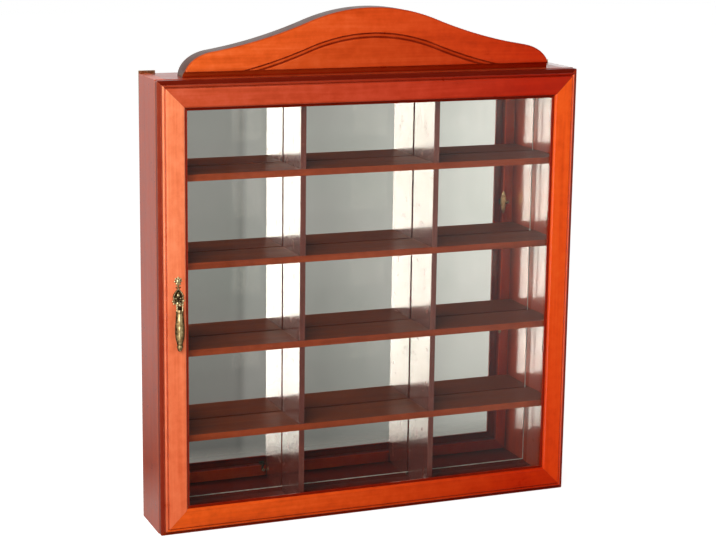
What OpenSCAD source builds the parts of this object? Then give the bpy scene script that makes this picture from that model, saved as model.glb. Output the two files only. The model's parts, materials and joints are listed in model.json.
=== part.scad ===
// Wall display cabinet with a mirrored back, a framed glass door and an arched crest
// Millimetres, +Z up, the front faces -Y
// The origin is on the wall plane, midway between the round entries of the two keyholes

/* [Case] */
// Width of the case, across its two sides
case_w = 540; // [520:5:600]
// Height of the case, without the crest
case_h = 547; // [520:1:620]
// Depth of the case, from its front edges to the wall
case_d = 69; // [66:1:100]
// Thickness of the side panels
side_t = 13; // [12.5:0.5:16]
// Thickness of the top panel
top_t = 15; // [14.5:0.5:20]
// Thickness of the bottom panel
bottom_t = 13; // [12:0.5:18]
// Diameter of the dowels in the case and under the crest
dowel_d = 6; // [5:0.5:7]
// Length of the dowels
dowel_len = 24; // [21:1:26]
// Depth that a dowel reaches into the first of its two boards
dowel_seat = 8; // [6:0.5:9]

/* [Shelves] */
// Thickness of the shelves
shelf_t = 8; // [6:0.5:10]
// Thickness of the upright dividers
divider_t = 7; // [5:0.5:9]
// Setback of shelves and dividers behind the front edges of the case
grid_setback = 2.2; // [2:0.2:5]
// Depth of the housings for the ends of shelves and dividers
housing_depth = 3; // [2:0.5:4]
// Clearance round a shelf or divider in its notches and housings
lap_gap = 0.1; // [0.05:0.05:0.2]

/* [Mirror and back] */
// Thickness of the mirror
mirror_t = 3; // [2:0.5:4]
// Width of the bevel round the mirror
bevel_w = 5.5; // [3:0.5:10]
// How far the bevel thins the edge of the mirror
bevel_depth = 1; // [0.5:0.1:1.5]
// Gap between the mirror and the case
mirror_gap = 0.3; // [0.2:0.1:0.8]
// Thickness of the back panel
back_t = 3; // [3:0.5:4]
// Width of the rebate for the back panel
rebate_w = 5; // [4.5:0.5:6]
// Gap between the back panel and the sides of its rebate
back_gap = 0.2; // [0.1:0.1:0.5]

/* [Door] */
// Gap between the shut door and the case
door_gap = 0.4; // [0.3:0.1:0.8]
// How much the door stops short of the case at top and bottom
door_end_gap = 0.5; // [0.3:0.1:2]
// Thickness of the door frame at its broad face
door_t = 16.4; // [16:0.2:20]
// Width of the door frame, from the outer edge to the opening
frame_w = 31.8; // [31:0.2:40]
// Width of the outer step
step_w = 4.9; // [4:0.1:6]
// Thickness of the frame at the outer step
step_t = 9.4; // [8.8:0.2:11]
// Radius of the bead beside the step
bead_r = 1.55; // [1.2:0.05:1.8]
// Thickness of the frame at the crown of the bead
bead_t = 14.8; // [13.6:0.2:15.4]
// Width of the quirk beside the bead
quirk_w = 0.9; // [0.6:0.1:1.4]
// Thickness left under the quirk
quirk_t = 13; // [12:0.2:13.4]
// Radius of the outer edge of the broad face
face_r = 1; // [0.6:0.1:1.5]
// Radius of the inner edge of the broad face
inner_r = 3; // [1:0.1:3.4]
// Width of the inner lip beside the opening
lip_w = 3; // [2:0.2:4]
// Thickness of the inner lip in front of the glass
lip_t = 2.6; // [1.5:0.1:2.6]
// Radius of the outer corners of the door
corner_r = 1.5; // [1:0.5:5]
// Width of the rebate for the glass
glass_rebate_w = 6; // [5:0.5:7]
// Distance between the back of the frame and the glass
glass_seat = 7.4; // [6:0.2:9]
// Thickness of the glass
glass_t = 3; // [2:0.5:4]
// Gap between the edge of the glass and the frame
glass_gap = 0.6; // [0.3:0.1:1.2]

/* [Glass clips] */
// Length of the pointed oval plate of a stile clip
clip_len = 32; // [24:1:40]
// Width of the oval plate
clip_w = 9.6; // [8:0.2:11]
// Thickness of the clips
clip_t = 0.8; // [0.6:0.1:0.9]
// Width of a clip's leg and of its foot on the glass
clip_leg_w = 7; // [5:0.5:12]
// Length of the foot on the glass
clip_foot = 3; // [2:0.5:6]
// Distance of the screw from the wall of the rebate
clip_screw_reach = 6; // [5.5:0.5:7]
// Distance of the stile clips from the middle of the stile
stile_clip_z = 82.5; // [60:0.5:100]
// Distance of the rail clips from the middle of the rail
rail_clip_x = 93; // [60:1:130]

/* [Hinges] */
// Radius of the hinge knuckles
knuckle_r = 2.2; // [2.1:0.1:2.8]
// Gap between the side of the cabinet and the knuckles
knuckle_gap = 0.4; // [0.3:0.1:0.8]
// Radius of the hinge pins
pin_r = 1; // [0.8:0.1:1.2]
// Running clearance round the pins
pin_fit = 0.05; // [0.02:0.01:0.08]
// Length of a hinge
hinge_len = 45; // [40:1:55]
// Thickness of a hinge leaf
leaf_t = 1; // [0.8:0.1:1.2]
// Width of a leaf on the wood
leaf_w = 10; // [9:0.5:11]
// Distance of the middle of a hinge from the end of the case
hinge_inset = 90; // [70:1:110]
// Distance between the two screws of a leaf
leaf_screw_pitch = 28; // [22:1:32]

/* [Catch] */
// Diameter of the round magnet
magnet_d = 8; // [6:0.5:9]
// Length of the magnet
magnet_len = 10; // [6:1:14]
// Diameter of the strike disc
strike_d = 10; // [8:0.5:11]
// Thickness of the strike disc
strike_t = 1; // [0.8:0.1:1.5]

/* [Crest] */
// Width of the crest
crest_w = 472; // [462:1:490]
// How far the crest sits to the right of the middle of the case
crest_shift = 3; // [0:0.5:6]
// Height of the crest at its peak
crest_h = 78; // [76:0.2:90]
// Thickness of the crest board
crest_t = 28; // [24:1:32]
// Setback of the crest behind the front edges of the case
crest_setback = 5.2; // [2:0.2:20]
// Radius of the arch at the peak
arch_r = 224; // [212:2:234]
// Slope in degrees where the arch turns into the sweep
arch_slope = 21.5; // [20.5:0.1:22]
// Radius of the hollow sweep beside the arch
sweep_r = 575; // [545:5:590]
// Slope in degrees where the sweep meets the rounded shoulder
sweep_slope = 9.1; // [8.4:0.1:9.8]
// Radius of the rounded front edge
crest_round = 2; // [1:0.5:5]
// Radius of the cove along the foot
cove_r = 7; // [4:0.5:8]
// Drop from the top edge to the upper carved line
carve_drop = 30.1; // [26:0.1:34]
// Width of a carved line
carve_w = 1.3; // [0.8:0.1:1.6]
// Width of the bead between the two carved lines
carve_bead_w = 3.6; // [3:0.2:6]
// Depth of the carved lines
carve_depth = 1.4; // [0.8:0.1:2]
// Depth of the sunk field under the carved lines
field_depth = 0.9; // [0.4:0.1:1.2]
// Distance between the outer dowels of the crest
crest_dowel_span = 360; // [300:5:380]

/* [Pull] */
// Distance of the pull from the outer edge of the stile
pull_inset = 21.6; // [20:0.2:22]
// Height of the pivot above the middle of the door
pull_rise = 12.5; // [0:0.5:20]
// Thickness of the backplate
plate_t = 1.2; // [1:0.1:1.6]
// Half width of the pointed plate
plate_half_w = 6.6; // [6:0.1:7.4]
// Height of the pointed plate
plate_h = 28; // [26:0.5:32]
// Drop from the pivot to the foot of the plate
plate_drop = 9; // [8:0.2:10]
// Radius of the fan above the pointed plate
fan_r = 5.3; // [4.5:0.1:6]
// How far the fan stands above the pointed plate
fan_rise = 14; // [12:0.5:15]
// Distance of the pivot from the front of the plate
pivot_reach = 4.6; // [4.4:0.1:6]
// Radius of the bolt through the stile
bolt_r = 1.5; // [1.3:0.05:1.6]
// Thickness of the eye at the front of the bolt
eye_t = 2.4; // [2.2:0.1:3]
// Radius of the eye
eye_r = 2.2; // [2:0.1:2.5]
// Radius of the pivot pin of the drop
drop_pin_r = 0.9; // [0.7:0.1:1.1]
// Gap between the eye and each leg of the loop
loop_gap = 1.4; // [0.8:0.1:1.8]
// Width of each leg of the loop
loop_leg = 1.6; // [1.2:0.1:2]
// Length of the legs below the pivot
loop_len = 7.4; // [6.5:0.2:9]
// Length of the drop below its pivot
drop_len = 57.5; // [51:0.5:62]
// Largest half width of the drop
drop_half_w = 5.9; // [5:0.1:6.4]
// Half depth of the drop over its half width
drop_flatness = 0.55; // [0.4:0.05:0.65]

/* [Hanging plates] */
// Width of a hanging plate
hanger_w = 20; // [18:1:24]
// Height of a hanging plate
hanger_h = 40; // [38:1:48]
// Thickness of a hanging plate
hanger_t = 1.5; // [1.2:0.1:2]
// How far a hanging plate stands above the case
hanger_rise = 3.5; // [2:0.5:5]
// Distance of a keyhole from the side of the case
keyhole_inset = 7; // [6.5:0.1:7.5]
// Drop from the top of the case to the round entry of a keyhole
keyhole_drop = 23; // [20:0.5:24]
// Radius of the round entry
keyhole_r = 4.2; // [3.8:0.1:4.4]
// Half width of the slot above the round entry
slot_r = 2.2; // [1.8:0.1:2.2]
// Rise from the middle of the round entry to the middle of the slot's end
slot_rise = 8; // [7:0.5:9]
// Depth of the pocket behind a hanging plate
pocket_depth = 5; // [4:0.5:8]

/* [Hidden] */
$fn = 48;

columns = 3;
rows = 5;
// Overlap that keeps a cut clear of the face it opens
cut = 1;
// Clearance of screws, dowels and fixed pins in their holes
hole_fit = 0.02;

cherry = [0.66, 0.22, 0.07];
dark_cherry = [0.42, 0.13, 0.09];
brass = [0.66, 0.55, 0.30];
beech = [0.80, 0.66, 0.46];
steel = [0.72, 0.72, 0.70];

half_w = case_w / 2;
case_front = -case_d;
clear_w = case_w - 2 * side_t;
clear_h = case_h - top_t - bottom_t;
column_w = (clear_w - (columns - 1) * divider_t) / columns;
row_h = (clear_h - (rows - 1) * shelf_t) / rows;
mirror_front = -back_t - mirror_t;
grid_front = case_front + grid_setback;
grid_back = mirror_front - mirror_gap;
grid_mid = (grid_front + grid_back) / 2;
keyhole_z = case_h - keyhole_drop;

door_back = case_front - door_gap;
door_front = door_back - door_t;
door_foot = door_end_gap;
door_top = case_h - door_end_gap;
door_h = door_top - door_foot;
door_mid = (door_top + door_foot) / 2;
rebate_wall = frame_w - glass_rebate_w;
glass_inset = rebate_wall + glass_gap;

// Heights are measured from the foot of the case, and the finished piece hangs from its keyholes
module hung() {
    translate([0, 0, -keyhole_z]) children();
}

// A countersunk screw with its head at the origin and its point towards +Y
module countersunk(shank_r, head_r, len) {
    rotate([-90, 0, 0]) {
        cylinder(h = len, r = shank_r);
        cylinder(h = head_r - shank_r, r1 = head_r, r2 = shank_r);
    }
}

module countersunk_hole(shank_r, head_r, len) {
    translate([0, -cut, 0]) rotate([-90, 0, 0]) cylinder(h = cut, r = head_r + hole_fit);
    countersunk(shank_r + hole_fit, head_r + hole_fit, len + hole_fit);
}

// Faces of a loft through m rings of n points each, anticlockwise as seen from the first ring
function loft_faces(n, m) = concat(
    [for (j = [0 : m - 2], i = [0 : n - 1], half = [0, 1])
        let (k = (i + 1) % n)
        half == 0 ? [j * n + i, j * n + k, (j + 1) * n + k]
                  : [j * n + i, (j + 1) * n + k, (j + 1) * n + i]],
    [[for (i = [n - 1 : -1 : 0]) i]],
    [[for (i = [0 : n - 1]) (m - 1) * n + i]]
);

// Middle of divider i, counted from the left
function divider_x(i) = -clear_w / 2 + i * column_w + (i - 0.5) * divider_t;
// Top of shelf k, counted from the top, where 0 is the underside of the top panel
function shelf_top(k) = case_h - top_t - k * (row_h + shelf_t) + shelf_t;
// Middles of columns and rows
column_mids = [for (i = [0 : columns - 1]) -clear_w / 2 + column_w / 2 + i * (column_w + divider_t)];
row_mids = [for (k = [0 : rows - 1]) bottom_t + row_h / 2 + k * (row_h + shelf_t)];

// Dowels of the case
dowel_inset = 19;
module case_dowel_set(grow = 0) {
    for (side = [-1, 1], z = [bottom_t / 2, case_h - top_t / 2],
         y = [case_front + dowel_inset, -dowel_inset])
        translate([side * (half_w - side_t + dowel_seat - dowel_len / 2), y, z])
            rotate([0, 90, 0])
                cylinder(h = dowel_len + 2 * grow, r = dowel_d / 2 + grow, center = true);
}

module case_dowels() {
    color(beech) hung() case_dowel_set();
}

// Dowels of the crest
crest_front = case_front + crest_setback;
crest_back = crest_front + crest_t;
crest_dowel_y = crest_back - crest_t * 0.4;
module crest_dowel_set(grow = 0) {
    for (x = [-crest_dowel_span / 2, 0, crest_dowel_span / 2])
        translate([crest_shift + x, crest_dowel_y, case_h - dowel_seat - grow])
            cylinder(h = dowel_len + 2 * grow, r = dowel_d / 2 + grow);
}

module crest_dowels() {
    color(beech) hung() crest_dowel_set();
}

// Screws of the back panel
back_screw_r = 1.1;
back_screw_head_r = 1.9;
back_screw_len = 10;
module at_back_screws() {
    edge = rebate_w / 2;
    for (side = [-1, 1], k = [0, 1, 3, 4])
        translate([side * (clear_w / 2 + edge), 0, row_mids[k]]) rotate([0, 0, 180]) children();
    for (x = column_mids, z = [bottom_t - edge, case_h - top_t + edge])
        translate([x, 0, z]) rotate([0, 0, 180]) children();
}

module back_screw_holes() {
    at_back_screws() countersunk_hole(back_screw_r, back_screw_head_r, back_screw_len);
}

module back_screws() {
    color(steel) hung()
        at_back_screws() countersunk(back_screw_r, back_screw_head_r, back_screw_len);
}

// Hanging plates
hanger_foot = case_h + hanger_rise - hanger_h;
keyhole_x = half_w - keyhole_inset;
pocket_r = keyhole_r + 0.3;
hanger_screw_r = 1.4;
hanger_screw_head_r = 2.4;
hanger_screw_len = 13;
module at_hanger_screws() {
    for (side = [-1, 1], z = [hanger_foot + 4, case_h - hanger_screw_head_r - 1])
        translate([side * (half_w - 4.5), 0, z]) rotate([0, 0, 180]) children();
}

module hanger_screw_holes() {
    at_hanger_screws() countersunk_hole(hanger_screw_r, hanger_screw_head_r, hanger_screw_len);
}

// A slot of round ends, as deep as h, that runs up from the round entry
module keyhole_slot(r, h) {
    rotate([-90, 0, 0]) cylinder(h = h, r = r);
    translate([0, 0, slot_rise]) rotate([-90, 0, 0]) cylinder(h = h, r = r);
    translate([-r, 0, 0]) cube([2 * r, h, slot_rise]);
}

module hanger_pockets() {
    for (side = [-1, 1]) {
        translate([side * (half_w - hanger_w / 2) - hanger_w / 2 - lap_gap, -hanger_t,
                   hanger_foot - lap_gap])
            cube([hanger_w + 2 * lap_gap, hanger_t + cut, hanger_h + hanger_rise]);
        translate([side * keyhole_x, -hanger_t - pocket_depth, keyhole_z])
            keyhole_slot(pocket_r, pocket_depth + cut);
    }
}

module hanging_plates() {
    color(brass) hung()
        difference() {
            for (side = [-1, 1])
                translate([side * (half_w - hanger_w / 2) - hanger_w / 2, -hanger_t, hanger_foot])
                    cube([hanger_w, hanger_t, hanger_h]);
            for (side = [-1, 1])
                translate([side * keyhole_x, -hanger_t - cut, keyhole_z]) {
                    rotate([-90, 0, 0]) cylinder(h = hanger_t + 2 * cut, r = keyhole_r);
                    keyhole_slot(slot_r, hanger_t + 2 * cut);
                }
            hanger_screw_holes();
        }
}

module hanging_screws() {
    color(brass) hung()
        at_hanger_screws() countersunk(hanger_screw_r, hanger_screw_head_r, hanger_screw_len);
}

// Case
module back_rebate() {
    translate([-clear_w / 2 - rebate_w, -back_t, bottom_t - rebate_w])
        cube([clear_w + 2 * rebate_w, back_t + cut, clear_h + 2 * rebate_w]);
}

// Stopped housings, cut from inside the case
module shelf_housings() {
    for (k = [1 : rows - 1])
        translate([-clear_w / 2 - housing_depth, grid_front - lap_gap,
                   shelf_top(k) - shelf_t - lap_gap])
            cube([clear_w + 2 * housing_depth, grid_back - grid_front + 2 * lap_gap,
                  shelf_t + 2 * lap_gap]);
}

module divider_housings() {
    for (i = [1 : columns - 1])
        translate([divider_x(i) - divider_t / 2 - lap_gap, grid_front - lap_gap,
                   bottom_t - housing_depth])
            cube([divider_t + 2 * lap_gap, grid_back - grid_front + 2 * lap_gap,
                  clear_h + 2 * housing_depth]);
}

module side_panel(side) {
    color(cherry) hung()
        difference() {
            translate([side * (half_w - side_t / 2) - side_t / 2, case_front, 0])
                cube([side_t, case_d, case_h]);
            back_rebate();
            shelf_housings();
            case_dowel_set(hole_fit);
            back_screw_holes();
            hanger_pockets();
            hanger_screw_holes();
            if (side > 0) case_leaf_seats();
            if (side < 0) magnet_body(hole_fit);
        }
}

module left_side_panel() {
    side_panel(-1);
}

module right_side_panel() {
    side_panel(1);
}

module end_panel(z, t) {
    color(cherry) hung()
        difference() {
            translate([-clear_w / 2, case_front, z]) cube([clear_w, case_d, t]);
            back_rebate();
            divider_housings();
            case_dowel_set(hole_fit);
            crest_dowel_set(hole_fit);
            back_screw_holes();
            hanger_pockets();
        }
}

module top_panel() {
    end_panel(case_h - top_t, top_t);
}

module bottom_panel() {
    end_panel(0, bottom_t);
}

module back_panel() {
    inset = rebate_w - back_gap;
    color([0.45, 0.33, 0.22]) hung()
        difference() {
            translate([-clear_w / 2 - inset, -back_t, bottom_t - inset])
                cube([clear_w + 2 * inset, back_t, clear_h + 2 * inset]);
            back_screw_holes();
            hanger_pockets();
        }
}

// A plate inside the case opening, d short of the mirror's edge
module mirror_layer(d, y, t) {
    translate([-clear_w / 2 + mirror_gap + d, y, bottom_t + d])
        cube([clear_w - 2 * (mirror_gap + d), t, clear_h - mirror_gap - 2 * d]);
}

// The bevel runs round the front of the mirror, which stands on the bottom panel
module mirror_glass() {
    color([0.82, 0.85, 0.86]) hung()
        hull() {
            mirror_layer(0, mirror_front + bevel_depth, mirror_t - bevel_depth);
            mirror_layer(bevel_w, mirror_front, mirror_t);
        }
}

// Shelves are notched from the back and dividers from the front, half over half
module shelf(k) {
    color(dark_cherry) hung()
        difference() {
            translate([-clear_w / 2 - housing_depth + lap_gap, grid_front, shelf_top(k) - shelf_t])
                cube([clear_w + 2 * (housing_depth - lap_gap), grid_back - grid_front, shelf_t]);
            for (i = [1 : columns - 1])
                translate([divider_x(i) - divider_t / 2 - lap_gap, grid_mid, 0])
                    cube([divider_t + 2 * lap_gap, case_d, case_h]);
        }
}

module divider(i) {
    color(dark_cherry) hung()
        difference() {
            translate([divider_x(i) - divider_t / 2, grid_front,
                       bottom_t - housing_depth + lap_gap])
                cube([divider_t, grid_back - grid_front, clear_h + 2 * (housing_depth - lap_gap)]);
            for (k = [1 : rows - 1])
                translate([-half_w, grid_front - cut, shelf_top(k) - shelf_t - lap_gap])
                    cube([case_w, grid_mid - grid_front + cut + lap_gap, shelf_t + 2 * lap_gap]);
        }
}

module left_divider() {
    divider(1);
}

module right_divider() {
    divider(2);
}

module shelf_1() {
    shelf(1);
}

module shelf_2() {
    shelf(2);
}

module shelf_3() {
    shelf(3);
}

module shelf_4() {
    shelf(4);
}

// Crest
sweep_start = [arch_r * sin(arch_slope), crest_h - arch_r * (1 - cos(arch_slope))];
sweep_end = sweep_start + sweep_r * [sin(arch_slope) - sin(sweep_slope),
                                     cos(arch_slope) - cos(sweep_slope)];
// The shoulder is part of an ellipse that leaves the sweep in the sweep's own direction
shoulder_w = crest_w / 2 - sweep_end[0];
shoulder_k = tan(sweep_slope) * shoulder_w / sweep_end[1];
shoulder_t = acos(shoulder_k / (1 - shoulder_k));
shoulder_a = shoulder_w / (1 - cos(shoulder_t));
shoulder_b = sweep_end[1] / sin(shoulder_t);

arc_steps = 10;
// Each entry holds x, z and the outward angle, from the peak down to the right foot
half_edge = concat(
    [for (i = [0 : arc_steps])
        let (a = arch_slope * i / arc_steps)
        [arch_r * sin(a), crest_h - arch_r * (1 - cos(a)), 90 - a]],
    [for (i = [1 : arc_steps])
        let (a = arch_slope + (sweep_slope - arch_slope) * i / arc_steps)
        [sweep_start[0] + sweep_r * (sin(arch_slope) - sin(a)),
         sweep_start[1] + sweep_r * (cos(arch_slope) - cos(a)), 90 - a]],
    [for (i = [1 : arc_steps])
        let (t = shoulder_t * (1 - i / arc_steps))
        [crest_w / 2 - shoulder_a * (1 - cos(t)), shoulder_b * sin(t),
         atan2(shoulder_a * sin(t), shoulder_b * cos(t))]]
);
last = len(half_edge) - 1;
crest_edge = concat(
    half_edge,
    [for (i = [last : -1 : 1]) [-half_edge[i][0], half_edge[i][1], 180 - half_edge[i][2]]]
);

// Each ring is [y, inset]: the back, then the steps that turn over the rounded front edge
round_steps = 4;
crest_rings = concat(
    [[crest_back, 0]],
    [for (i = [0 : round_steps])
        let (a = 90 * i / round_steps)
        [crest_front + crest_round * (1 - sin(a)), crest_round * (1 - cos(a))]]
);

module crest_blank() {
    points = [for (r = crest_rings, p = crest_edge)
        [p[0] - r[1] * cos(p[2]), r[0], max(0, p[1] - r[1] * sin(p[2]))]];
    polyhedron(points = points, faces = loft_faces(len(crest_edge), len(crest_rings)));
}

// A band that follows the top edge, between two drops below it, down to the foot
module under_edge(from, to) {
    intersection() {
        polygon(concat(
            [for (i = [last : -1 : 1]) [-half_edge[i][0], half_edge[i][1] - from]],
            [for (p = half_edge) [p[0], p[1] - from]],
            [for (i = [last : -1 : 1]) [half_edge[i][0], half_edge[i][1] - to]],
            [for (p = half_edge) [-p[0], p[1] - to]]
        ));
        translate([-crest_w / 2, cove_r / 2]) square([crest_w, crest_h]);
    }
}

module carved(from, to, depth) {
    translate([0, crest_front + depth, 0]) rotate([90, 0, 0])
        linear_extrude(depth + cut) under_edge(from, to);
}

module crest() {
    lower_line = carve_drop + carve_w + carve_bead_w;
    color(cherry) hung()
        difference() {
            translate([crest_shift, 0, case_h])
                difference() {
                    crest_blank();
                    translate([-half_w, crest_front, 0]) rotate([0, 90, 0])
                        cylinder(h = case_w, r = cove_r);
                    carved(carve_drop, carve_drop + carve_w, carve_depth);
                    carved(lower_line, lower_line + carve_w, carve_depth);
                    carved(lower_line + carve_w, crest_h, field_depth);
                }
            crest_dowel_set(hole_fit);
        }
}

// Door frame: in the section, x grows from the outer edge to the opening and y to the front
module frame_section() {
    bead_x = step_w + bead_r;
    quirk_x = step_w + 2 * bead_r;
    face_x = quirk_x + quirk_w;
    difference() {
        union() {
            square([step_w, step_t]);
            translate([step_w, 0]) square([2 * bead_r, bead_t - bead_r]);
            translate([bead_x, bead_t - bead_r]) circle(r = bead_r);
            translate([quirk_x, 0]) square([quirk_w, quirk_t]);
            translate([face_x, 0]) square([frame_w - face_x, door_t - inner_r]);
            translate([face_x, 0]) square([face_r, door_t - face_r]);
            translate([face_x, 0]) square([frame_w + lip_w - face_x, glass_seat + glass_t + lip_t]);
            translate([face_x + face_r, 0]) square([frame_w - face_x - face_r - inner_r, door_t]);
            translate([face_x + face_r, door_t - face_r]) circle(r = face_r);
            translate([frame_w - inner_r, door_t - inner_r]) circle(r = inner_r);
        }
        translate([rebate_wall, -cut])
            square([glass_rebate_w + lip_w + cut, glass_seat + glass_t + cut]);
    }
}

// A length of frame from the origin along +X, mitred at both ends, with the opening towards +Z
module mitred_length(len) {
    reach = frame_w + lip_w + cut;
    intersection() {
        rotate([180, 0, 0]) rotate([0, 90, 0]) linear_extrude(len) frame_section();
        rotate([90, 0, 0]) translate([0, 0, -cut])
            linear_extrude(door_t + 2 * cut)
                polygon([[0, 0], [len, 0], [len - reach, reach], [reach, reach]]);
    }
}

// What the rounded outer corners of the door leave out
module corner_trim() {
    for (sx = [-1, 1], sz = [-1, 1])
        translate([sx * (half_w - corner_r), door_back + cut, door_mid + sz * (door_h / 2 - corner_r)])
            rotate([90, 0, 0])
                difference() {
                    translate([sx * corner_r - corner_r, sz * corner_r - corner_r, 0])
                        cube([2 * corner_r, 2 * corner_r, door_t + 2 * cut]);
                    translate([0, 0, -cut]) cylinder(h = door_t + 4 * cut, r = corner_r);
                }
}

module left_stile() {
    color(cherry) hung()
        difference() {
            translate([-half_w, door_back, door_top]) rotate([0, 90, 0]) mitred_length(door_h);
            corner_trim();
            strike_body(hole_fit);
            strike_screw_hole();
            bolt_hole();
            clip_screw_holes();
        }
}

module right_stile() {
    color(cherry) hung()
        difference() {
            translate([half_w, door_back, door_foot]) rotate([0, -90, 0]) mitred_length(door_h);
            corner_trim();
            door_leaf_seats();
            clip_screw_holes();
        }
}

module top_rail() {
    color(cherry) hung()
        difference() {
            translate([half_w, door_back, door_top]) rotate([0, 180, 0]) mitred_length(case_w);
            corner_trim();
            clip_screw_holes();
        }
}

module bottom_rail() {
    color(cherry) hung()
        difference() {
            translate([-half_w, door_back, door_foot]) mitred_length(case_w);
            corner_trim();
            clip_screw_holes();
        }
}

module door_glass() {
    color([0.80, 0.88, 0.88, 0.3]) hung()
        translate([-half_w + glass_inset, door_back - glass_seat - glass_t, door_foot + glass_inset])
            cube([case_w - 2 * glass_inset, glass_t, door_h - 2 * glass_inset]);
}

// Glass clips: each child's origin is on the back of the frame, at the wall of the rebate,
// with the opening towards +Z
clip_gap = 0.2;
clip_tab_w = 4.6;
clip_screw_r = 1.1;
clip_screw_head_r = 2.2;
clip_screw_head_t = 0.7;
clip_screw_len = 7;
module at_rail_clips() {
    for (s = [-1, 1]) {
        translate([s * rail_clip_x, door_back, door_foot + rebate_wall]) children();
        translate([s * rail_clip_x, door_back, door_top - rebate_wall]) rotate([0, 180, 0]) children();
    }
}

module at_stile_clips() {
    for (s = [-1, 1]) {
        translate([-half_w + rebate_wall, door_back, door_mid + s * stile_clip_z])
            rotate([0, 90, 0]) children();
        translate([half_w - rebate_wall, door_back, door_mid + s * stile_clip_z])
            rotate([0, -90, 0]) children();
    }
}

module at_clips() {
    at_rail_clips() children();
    at_stile_clips() children();
}

// A tab for the screw, a leg down the wall of the rebate and a foot on the glass
module clip_strip() {
    translate([-clip_tab_w / 2, 0, -clip_screw_reach])
        cube([clip_tab_w, clip_t, clip_screw_reach + clip_gap + clip_t]);
    translate([0, 0, -clip_screw_reach]) rotate([-90, 0, 0]) cylinder(h = clip_t, r = clip_tab_w / 2);
    translate([-clip_leg_w / 2, -glass_seat, clip_gap]) cube([clip_leg_w, glass_seat + clip_t, clip_t]);
    translate([-clip_leg_w / 2, -glass_seat, clip_gap]) cube([clip_leg_w, clip_t, clip_foot]);
}

// The pointed oval lies between two arcs
module clip_oval() {
    arc_r = (clip_len * clip_len + clip_w * clip_w) / (4 * clip_w);
    rotate([-90, 0, 0]) linear_extrude(clip_t)
        intersection() {
            translate([0, arc_r - clip_w / 2]) circle(r = arc_r);
            translate([0, clip_w / 2 - arc_r]) circle(r = arc_r);
        }
}

module glass_clips() {
    color(brass) hung()
        difference() {
            union() {
                at_clips() clip_strip();
                at_stile_clips() clip_oval();
            }
            clip_screw_holes();
        }
}

module at_clip_screws() {
    at_clips() translate([0, 0, -clip_screw_reach]) rotate([90, 0, 0]) children();
}

module clip_screw_holes() {
    hole_r = clip_screw_r + hole_fit;
    at_clip_screws() translate([0, 0, -clip_t - cut])
        cylinder(h = clip_screw_len + cut + hole_fit, r = hole_r);
}

module clip_screws() {
    color(brass) hung()
        at_clip_screws() translate([0, 0, -clip_t]) {
            cylinder(h = clip_screw_len, r = clip_screw_r);
            translate([0, 0, -clip_screw_head_t])
                cylinder(h = clip_screw_head_t, r = clip_screw_head_r);
        }
}

// Hinges: the case carries the two outer knuckles and the pin, the door the middle knuckle
axis_x = half_w + knuckle_gap + knuckle_r;
axis_y = case_front - door_gap / 2;
knuckle_split = 0.3;
knuckle_len = (hinge_len - 2 * knuckle_split) / 3;
leaf_screw_r = 1.1;
leaf_screw_head_r = 2;
leaf_screw_len = 8;
upper_hinge_z = case_h - hinge_inset;
lower_hinge_z = hinge_inset;

// A barrel and the strip that ties it to the leaf, y being the leaf's lower face
module knuckle(z, y) {
    translate([axis_x, axis_y, z]) cylinder(h = knuckle_len, r = knuckle_r);
    translate([half_w - cut, y, z]) cube([axis_x - half_w + cut, leaf_t, knuckle_len]);
}

module leaf_plate(z, y) {
    translate([half_w - leaf_w, y, z - hinge_len / 2]) cube([leaf_w, leaf_t, hinge_len]);
}

module at_leaf_screws(z) {
    for (s = [-1, 1])
        translate([half_w - leaf_w / 2, 0, z + s * leaf_screw_pitch / 2]) children();
}

module case_leaf_holes(z) {
    at_leaf_screws(z) translate([0, case_front, 0])
        countersunk_hole(leaf_screw_r, leaf_screw_head_r, leaf_screw_len);
}

module door_leaf_holes(z) {
    at_leaf_screws(z) translate([0, door_back, 0]) rotate([0, 0, 180])
        countersunk_hole(leaf_screw_r, leaf_screw_head_r, leaf_screw_len);
}

module case_leaf_seats() {
    for (z = [upper_hinge_z, lower_hinge_z]) {
        translate([half_w - leaf_w, case_front - cut, z - hinge_len / 2])
            cube([leaf_w + cut, leaf_t + cut, hinge_len]);
        case_leaf_holes(z);
    }
}

module door_leaf_seats() {
    for (z = [upper_hinge_z, lower_hinge_z]) {
        translate([half_w - leaf_w, door_back - leaf_t, z - hinge_len / 2])
            cube([leaf_w + cut, leaf_t + cut, hinge_len]);
        door_leaf_holes(z);
    }
}

module case_leaf(z) {
    color(brass) hung()
        difference() {
            union() {
                leaf_plate(z, case_front);
                knuckle(z - hinge_len / 2, case_front);
                knuckle(z + hinge_len / 2 - knuckle_len, case_front);
            }
            translate([axis_x, axis_y, z - hinge_len]) cylinder(h = 2 * hinge_len, r = pin_r + hole_fit);
            case_leaf_holes(z);
        }
}

module door_leaf(z) {
    color(brass) hung()
        difference() {
            union() {
                leaf_plate(z, door_back - leaf_t);
                knuckle(z - knuckle_len / 2, door_back - leaf_t);
            }
            translate([axis_x, axis_y, z - hinge_len]) cylinder(h = 2 * hinge_len, r = pin_r + pin_fit);
            door_leaf_holes(z);
        }
}

module hinge_pin(z) {
    head_t = 0.9;
    color(brass) hung()
        translate([axis_x, axis_y, z - hinge_len / 2]) {
            cylinder(h = hinge_len, r = pin_r);
            translate([0, 0, hinge_len]) cylinder(h = head_t, r = knuckle_r - leaf_t / 2);
        }
}

module upper_hinge_case_leaf() {
    case_leaf(upper_hinge_z);
}

module lower_hinge_case_leaf() {
    case_leaf(lower_hinge_z);
}

module upper_hinge_door_leaf() {
    door_leaf(upper_hinge_z);
}

module lower_hinge_door_leaf() {
    door_leaf(lower_hinge_z);
}

module upper_hinge_pin() {
    hinge_pin(upper_hinge_z);
}

module lower_hinge_pin() {
    hinge_pin(lower_hinge_z);
}

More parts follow.
